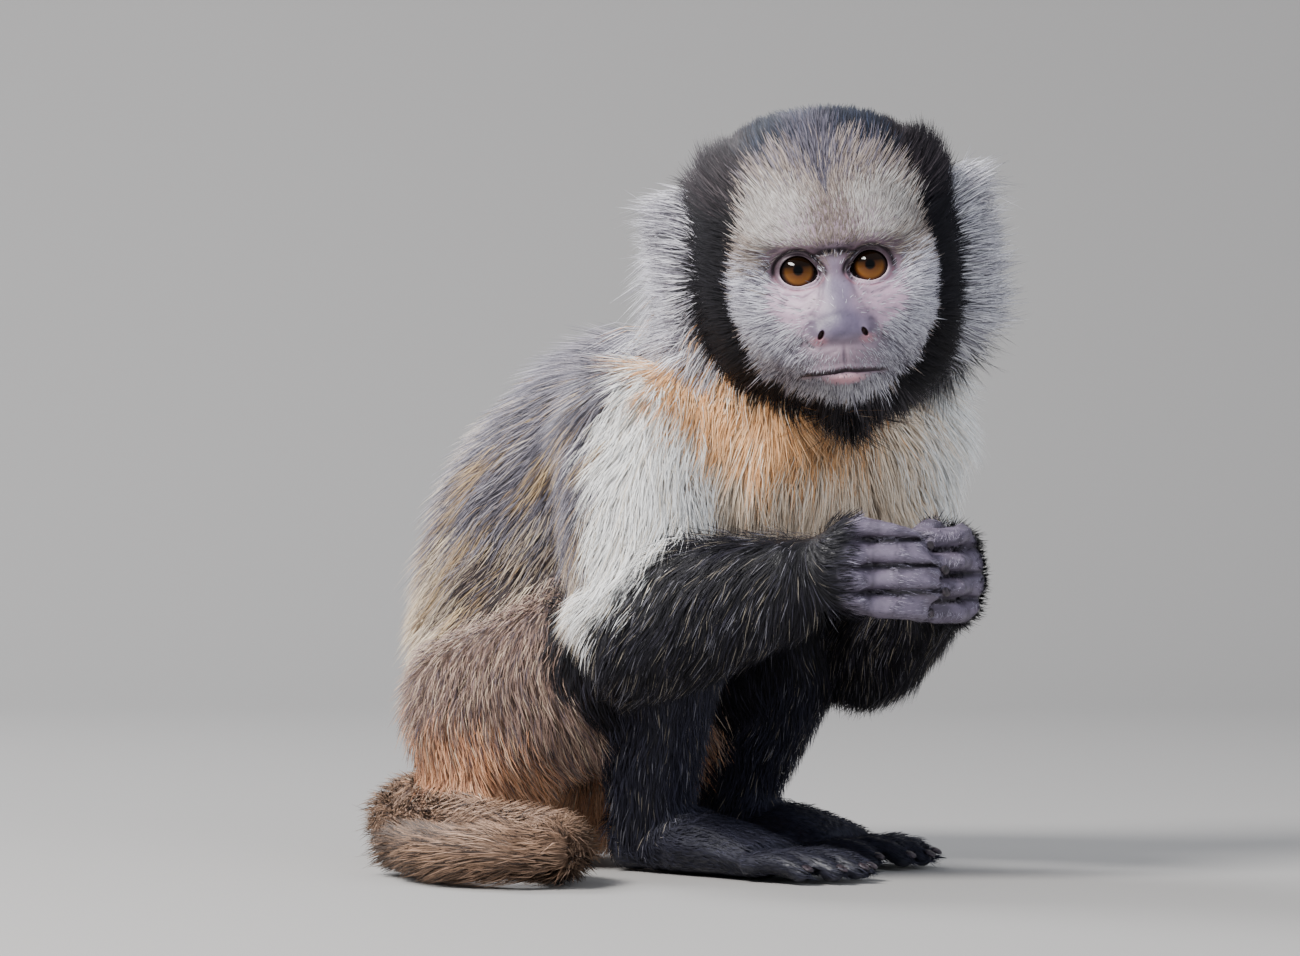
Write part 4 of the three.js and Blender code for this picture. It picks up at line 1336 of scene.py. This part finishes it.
def on_parts(p, limb_values, on_face, on_digit):
    """A measure of the locks: one for each limb, one for the face and one for the fingers."""
    fine, digits = p.head * face_share(p.local), on_digits(p)
    values = per_limb(limb_values, p.shares) * (1 - digits) + on_digit * digits
    return values * (1 - fine) + on_face * fine


edge_share = np.clip(smooth_step(9, 28, np.abs(coat.aside)) * smooth_step(20, 0, coat.up)
                     + 0.7 * smooth_step(-37, -42, coat.up) + 0.3 * smooth_step(10, 30, coat.up), 0, 1)
length = on_parts(coat, LOCK_LENGTH, FACE_LENGTH + (CHEEK_LENGTH - FACE_LENGTH) * edge_share, DIGIT_LENGTH)
width = on_parts(coat, LOCK_WIDTH, FACE_WIDTH * (1 + 0.3 * edge_share), DIGIT_WIDTH)
rise = per_limb(LOFT, coat.shares) * on_parts(coat, COAT_DEPTH, FACE_RISE + 1.1 * edge_share, DIGIT_RISE)
jaw = head_hair(coat) * smooth_step(0.99, 1.03, face_edge(coat))
jaw *= smooth_step(-12, -26, coat.up) * smooth_step(-25, 0, coat.forward)
beard = jaw * smooth_step(9, 3, np.abs(coat.aside)) * smooth_step(0, 12, coat.forward)
fringe = smooth_step(0.4, 0.8, silver_sides(coat)) * (1 - ears(coat))
low_fringe = fringe * smooth_step(-6, -20, coat.up)
temple = head_hair(coat) * smooth_step(1.0, 1.07, face_edge(coat)) * smooth_step(22, 32, np.abs(coat.aside))
temple *= smooth_step(10, 25, coat.up) * smooth_step(41, 30, coat.up) * smooth_step(-26, -10, coat.forward)
below_ear = coat.share("neck") * smooth_step(26, 36, np.abs(coat.aside)) * smooth_step(-75, -60, coat.up)


def stand_out(tuft, longer, higher):
    """Makes the locks of a tuft longer, and lets them stand higher, both in millimetres."""
    length[:] += tuft * longer
    rise[:] += tuft * higher


stand_out(jaw, JAW_LENGTH - LOCK_LENGTH["head"], 2.5)
stand_out(beard, BEARD_LENGTH - JAW_LENGTH, 8)
stand_out(fringe, FRINGE_LENGTH - length, 6)
stand_out(low_fringe, 8, 6)
stand_out(temple, 5, 6)  # the cap ends in a tuft over each temple
stand_out(below_ear, 3, 7)
stand_out(ears(coat), 0, 3)
near_mouth = smooth_step(8, 3, np.abs(coat.up - MOUTH["up"])) * smooth_step(19, 13, np.abs(coat.aside))
length *= 1 - 0.5 * near_mouth * (coat.forward > 20)
rise *= 1 - 0.45 * by_the_beard(coat)
length *= chance.uniform(0.6, 1.15, len(roots))
length *= np.where(ears(coat) > 0.5, chance.uniform(0.6, 1.3, len(roots)), 1)
width *= chance.uniform(0.7, 1.25, len(roots))
rise *= chance.uniform(0.35, 1.05, len(roots)) ** 1.2 * (1 + 0.12 * ripple(roots, 7, 4))
sway = chance.normal(0, 0.08, len(roots)) + 0.07 * ripple(roots, 5, 3)


def spindles(p, flow, length, width, rise, sway):
    """The five vertices of each lock, and how far along its lock each one is."""
    across = np.cross(p.normals, flow)

    def on_line(share):
        height = rise * (1 - (1 - share) ** 2) - SINK
        aside = share ** 2 * sway * length
        ways = ((flow, share * length), (p.normals, height), (across, aside))
        return p.points + sum(way * far[:, None] for way, far in ways) * MM

    def on_ring(turn):
        out = math.cos(math.radians(turn)) * across + 0.6 * math.sin(math.radians(turn)) * p.normals
        return on_line(RING_AT) + out * (width / 2)[:, None] * MM

    return np.stack([on_line(0), on_ring(90), on_ring(210), on_ring(330), on_line(1)], 1)


SPINDLE_SHARES = np.array((0, RING_AT, RING_AT, RING_AT, 1))
SPINDLE_SPREAD = np.array((0, -0.5, 0, 0.5, 0))  # across its patch of the bake map
SPINDLE_FACES = np.array([(0, 2, 1), (0, 3, 2), (0, 1, 3), (1, 2, 4), (2, 3, 4), (3, 1, 4)])

# %% [markdown]
# Each lock gets a small patch on its piece's bake map, at its root's place on an unrolled skin: round and
# along its limb, or round and down the head.

# %% Unroll the skin
PATCH = 0.003  # of the bake map, for each lock


def unrolled(p, name):
    """Round and along one limb, both from 0 to 1."""
    line, _ = limbs[name]
    if name == "head":
        turn = np.arctan2(p.aside, p.forward) / (2 * np.pi) + 0.5
        return np.stack([turn, np.arccos(p.up / np.linalg.norm(p.local, axis=1)) / np.pi], 1)
    share = p.along[:, LIMBS.index(name)]
    stretch = np.minimum((share * (len(line) - 1)).astype(int), len(line) - 2)
    part = (share * (len(line) - 1) - stretch)[:, None]
    spoke = p.points - line[stretch] * (1 - part) - line[stretch + 1] * part
    axis = unit(line[-1] - line[0])
    first_way = unit(np.cross(axis, (0.31, 0.17, 0.93)))
    turn = np.arctan2(spoke @ np.cross(axis, first_way), spoke @ first_way) / (2 * np.pi) + 0.5
    whole = np.linalg.norm(np.diff(line, axis=0), axis=1).sum()
    far = share + (spoke * p.way[:, LIMBS.index(name)]).sum(1) / whole
    return np.stack([turn, (far - far.min()) / max(np.ptp(far), 1e-6)], 1)


# %% [markdown]
# A mesh of a hundred thousand faces is built quickest from arrays: all its vertices at once, then all its
# faces. The coat is kept in fourteen pieces, so that none of them gets too heavy.

# %% Grow the coat
CLEAR_OF_FLOOR = 3 * MM  # locks that would reach lower are bent up
KEEP_OF_SKIN = 0.82  # how much a lock is lit as the skin under it is, which softens the fur


def grow(name, chosen):
    """Makes one piece of the coat from the chosen roots."""
    picked = Survey(roots[chosen], root_normals[chosen])
    vertices = spindles(picked, flow[chosen], length[chosen], width[chosen], rise[chosen], sway[chosen])
    low = vertices[..., 2] < CLEAR_OF_FLOOR
    vertices[low, 2] = CLEAR_OF_FLOOR * np.exp(vertices[low, 2] / CLEAR_OF_FLOOR - 1)
    locks, per_lock = vertices.shape[:2]
    faces = (np.arange(locks)[:, None, None] * per_lock + SPINDLE_FACES[None]).reshape(-1, 3)
    mesh = bpy.data.meshes.new(name)
    mesh.vertices.add(locks * per_lock)
    mesh.vertices.foreach_set("co", vertices.astype(np.float32).ravel())
    mesh.loops.add(len(faces) * 3)
    mesh.loops.foreach_set("vertex_index", faces.astype(np.int32).ravel())
    mesh.polygons.add(len(faces))
    mesh.polygons.foreach_set("loop_start", np.arange(0, len(faces) * 3, 3, dtype=np.int32))
    mesh.polygons.foreach_set("use_smooth", np.ones(len(faces), bool))
    mesh.update(calc_edges=True)
    piece = bpy.data.objects.new(name, mesh)
    bpy.context.scene.collection.objects.link(piece)
    toward_tip = SPINDLE_SHARES[None, :, None]
    colours = root_tone[chosen][:, None] * (1 - toward_tip) + tip_tone[chosen][:, None] * toward_tip
    store_colours(piece, "marking", colours.reshape(-1, 3))
    owners = owner[chosen]
    strips = sorted(set(owners))
    place = np.zeros((locks, 2))
    for strip, limb_name in enumerate(strips):
        here = owners == limb_name
        square = unrolled(picked, limb_name)[here] * 0.98 + 0.01
        place[here] = np.stack([(strip + square[:, 0]) / len(strips), square[:, 1]], 1)
    at = place[:, None] + PATCH * np.stack([SPINDLE_SPREAD, SPINDLE_SHARES - 0.5], 1)[None]
    uv = mesh.uv_layers.new(name="OFBake")
    uv.data.foreach_set("uv", at.reshape(-1, 2)[faces.ravel()].astype(np.float32).ravel())
    keep = np.repeat(KEEP_OF_SKIN * (1 - 0.85 * ears(picked)), per_lock)[:, None]
    soft = unit(normals_of(piece) * (1 - keep) + keep * np.repeat(picked.normals, per_lock, axis=0))
    mesh.normals_split_custom_set_from_vertices(soft.tolist())
    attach(piece, "root")
    print(name, locks, "locks,", len(faces), "triangles")
    return piece


ROOT_DARKER, FACE_ROOT_DARKER = 0.85, 0.6
root_tone, tip_tone = lay_markings(coat, chance)
tone_change = chance.uniform(0.86, 1.08, len(roots))[:, None]
on_face_skin = (coat.head * face_share(coat.local))[:, None]
root_tone *= tone_change * (ROOT_DARKER + (FACE_ROOT_DARKER - ROOT_DARKER) * on_face_skin)
tip_tone *= tone_change
owner = np.array(LIMBS)[coat.shares.argmax(1)]
fine = coat.head * face_share(coat.local) > 0.5
upper = {"head": coat.up > 8, "trunk": coat.how_far("trunk") > 0.45}
PARTS = [  # piece, its limbs, which of their locks, slot
    ("coat_face", ["head"], fine, "head_coat"),
    ("coat_crown", ["head"], ~fine & upper["head"], "head_coat"),
    ("coat_beard", ["head"], ~fine & ~upper["head"], "head_coat"),
    ("coat_ear_fringes", ["ear_R", "ear_L"], True, "silver_coat"),
    ("coat_ruff", ["neck"], True, "cream_coat"),
    ("coat_mantle", ["trunk"], upper["trunk"], "brown_coat"),
    ("coat_rump", ["trunk"], ~upper["trunk"], "brown_coat"),
    ("coat_shoulder_R", ["upper_arm_R"], True, "cream_coat"),
    ("coat_shoulder_L", ["upper_arm_L"], True, "cream_coat"),
    ("coat_forearms", ["forearm_R", "forearm_L"], True, "black_coat"),
    ("coat_haunches", ["thigh_R", "thigh_L"], True, "brown_coat"),
    ("coat_shanks", ["shank_R", "shank_L"], True, "black_coat"),
    ("coat_paws", ["hand_R", "hand_L", "foot_R", "foot_L"], True, "black_coat"),
    ("coat_tail", ["tail"], True, "brown_coat"),
]
coat_pieces = [grow(name, np.isin(owner, names) & which) for name, names, which, slot in PARTS]
print("coat:", sum(len(piece.data.polygons) for piece in coat_pieces), "triangles")


# %% [markdown]
# ## Finishes
# The fur is soft and only a little glossy, the bare skin has fine wrinkles, and the eyes are wet. A
# material could be painted by hand; here the fur and the skin read the colour that is stored on the mesh and
# add a pattern that is reckoned from the place, the eyes are drawn from numbers stored on the mesh, and the
# nails from a pattern alone, so that none needs a picture. A function that adds a node and fills its sockets
# keeps the recipes short.

# %% The fur
def node(tree, kind, sockets=(), **settings):
    """Adds a shader node. A socket gets a number or a colour, or is linked to another node's output."""
    made = tree.nodes.new("ShaderNode" + kind)
    for setting, value in settings.items():
        setattr(made, setting, value)
    fill(tree, made, dict(sockets))
    return made


def fill(tree, into, sockets):
    for name, value in sockets.items():
        if isinstance(value, bpy.types.NodeSocket):
            tree.links.new(value, into.inputs[name])
        else:
            into.inputs[name].default_value = value


def new_material(name, **sockets):
    material = bpy.data.materials.new(name)
    material.use_nodes = True
    shader = material.node_tree.nodes["Principled BSDF"]
    fill(material.node_tree, shader, {socket.replace("_", " "): value for socket, value in sockets.items()})
    return material, material.node_tree, shader


def shaded(tree, colour, strength):
    """A colour times a strength."""
    sockets = {"Factor": 1, "A": colour, "B": strength}
    return node(tree, "Mix", sockets, data_type="RGBA", blend_type="MULTIPLY").outputs["Result"]


def mottled(tree, per_metre, darkest, palest):
    """The marking of each place, made darker and paler by so many soft spots to a metre."""
    marking = node(tree, "Attribute", attribute_name="marking")
    places = node(tree, "TexCoord").outputs["Object"]
    spots = node(tree, "TexNoise", {"Vector": places, "Scale": per_metre, "Detail": 3})
    strength = node(tree, "MapRange", {"Value": spots.outputs["Fac"], "From Min": 0.3, "From Max": 0.7,
                                       "To Min": darkest, "To Max": palest})
    return shaded(tree, marking.outputs["Color"], strength.outputs["Result"])


fur, tree, shader = new_material("fur", Roughness=0.65, Specular_IOR_Level=0.3)
fill(tree, shader, {"Base Color": mottled(tree, 450, 0.84, 1.1)})
for piece in coat_pieces:
    piece.data.materials.append(fur)

# %% The bare skin
hide, tree, shader = new_material("hide", Roughness=0.5)
hide_places = node(tree, "TexCoord").outputs["Object"]
wrinkles = node(tree, "TexVoronoi", {"Vector": hide_places, "Scale": 700}, feature="DISTANCE_TO_EDGE")
bump = node(tree, "Bump", {"Height": wrinkles.outputs["Distance"], "Strength": 0.35, "Distance": 0.25 * MM})
fill(tree, shader, {"Base Color": mottled(tree, 260, 0.84, 1.08), "Normal": bump.outputs["Normal"]})
skin.data.materials.append(hide)

# %% The eyes
IRIS = [(0, "010101"), (1.35, "010101"), (1.55, "341b0c"), (2.0, "61391a"), (4.2, "754a1d"), (5.1, "371c0b"),
        (5.6, "0a0503"), (8.7, "100a08")]  # distance from the line of sight in mm, colour


def colour_ramp(tree, share, stops):
    """Colours that follow one another over a share from 0 to 1."""
    made = node(tree, "ValToRGB", {"Fac": share})
    elements = made.color_ramp.elements
    while len(elements) < len(stops):
        elements.new(0.5)
    for element, (position, code) in zip(elements, stops):
        element.position, element.color = position, (*tint(code), 1)
    return made.outputs["Color"]


glass_eye, tree, shader = new_material("glass_eye", Roughness=0.35, Specular_IOR_Level=0, Coat_Weight=0.45,
                                       Coat_Roughness=0.02)
off_axis = node(tree, "Attribute", attribute_name="off_axis").outputs["Fac"]
above = node(tree, "Attribute", attribute_name="above").outputs["Fac"]
share_of_ball = node(tree, "Math", {0: off_axis, 1: EYE_RADIUS}, operation="DIVIDE").outputs[0]
iris = colour_ramp(tree, share_of_ball, [(distance / EYE_RADIUS, code) for distance, code in IRIS])
lid_shadow = node(tree, "MapRange", {"Value": above, "From Min": -2.0, "From Max": 2.7,
                                     "To Min": 1, "To Max": 0.03})
fill(tree, shader, {"Base Color": shaded(tree, iris, lid_shadow.outputs["Result"])})
for eyeball in eyeballs:
    eyeball.data.materials.append(glass_eye)

# %% The nails
horn, tree, shader = new_material("nail_horn", Roughness=0.3)
horn_places = node(tree, "TexCoord").outputs["Object"]
growth_lines = node(tree, "TexNoise", {"Vector": horn_places, "Scale": 900}).outputs["Fac"]
ridges = node(tree, "Bump", {"Height": growth_lines, "Strength": 0.2, "Distance": 0.1 * MM})
horn_tones = colour_ramp(tree, growth_lines, [(0.35, "1c181c"), (0.7, "443a40")])
fill(tree, shader, {"Base Color": horn_tones, "Normal": ridges.outputs["Normal"]})
for nail_name in sorted(n for n in frame["nodes"] if "nail" in n):
    nail = frame["nodes"][nail_name]
    nail.data.materials.clear()
    nail.data.materials.append(horn)
    nail.modifiers.new("Weld", "WELD").merge_threshold = 1e-5
    rounding = nail.modifiers.new("Rounding", "SUBSURF")
    rounding.levels = rounding.render_levels = 1
print("finishes on", len(coat_pieces), "coat pieces, the skin, the eyes and the nails")

# %% [markdown]
# The box of the solids, as they were loaded, and the box of the finished animal are kept, so that the two
# can be compared.

# %% Compare the sizes
visual_low, visual_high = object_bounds()
proud_low, proud_high = np.array(solid_low - visual_low) / MM, np.array(visual_high - solid_high) / MM
print("coat proud of the solids by", proud_low.round(1), "and", proud_high.round(1), "mm")
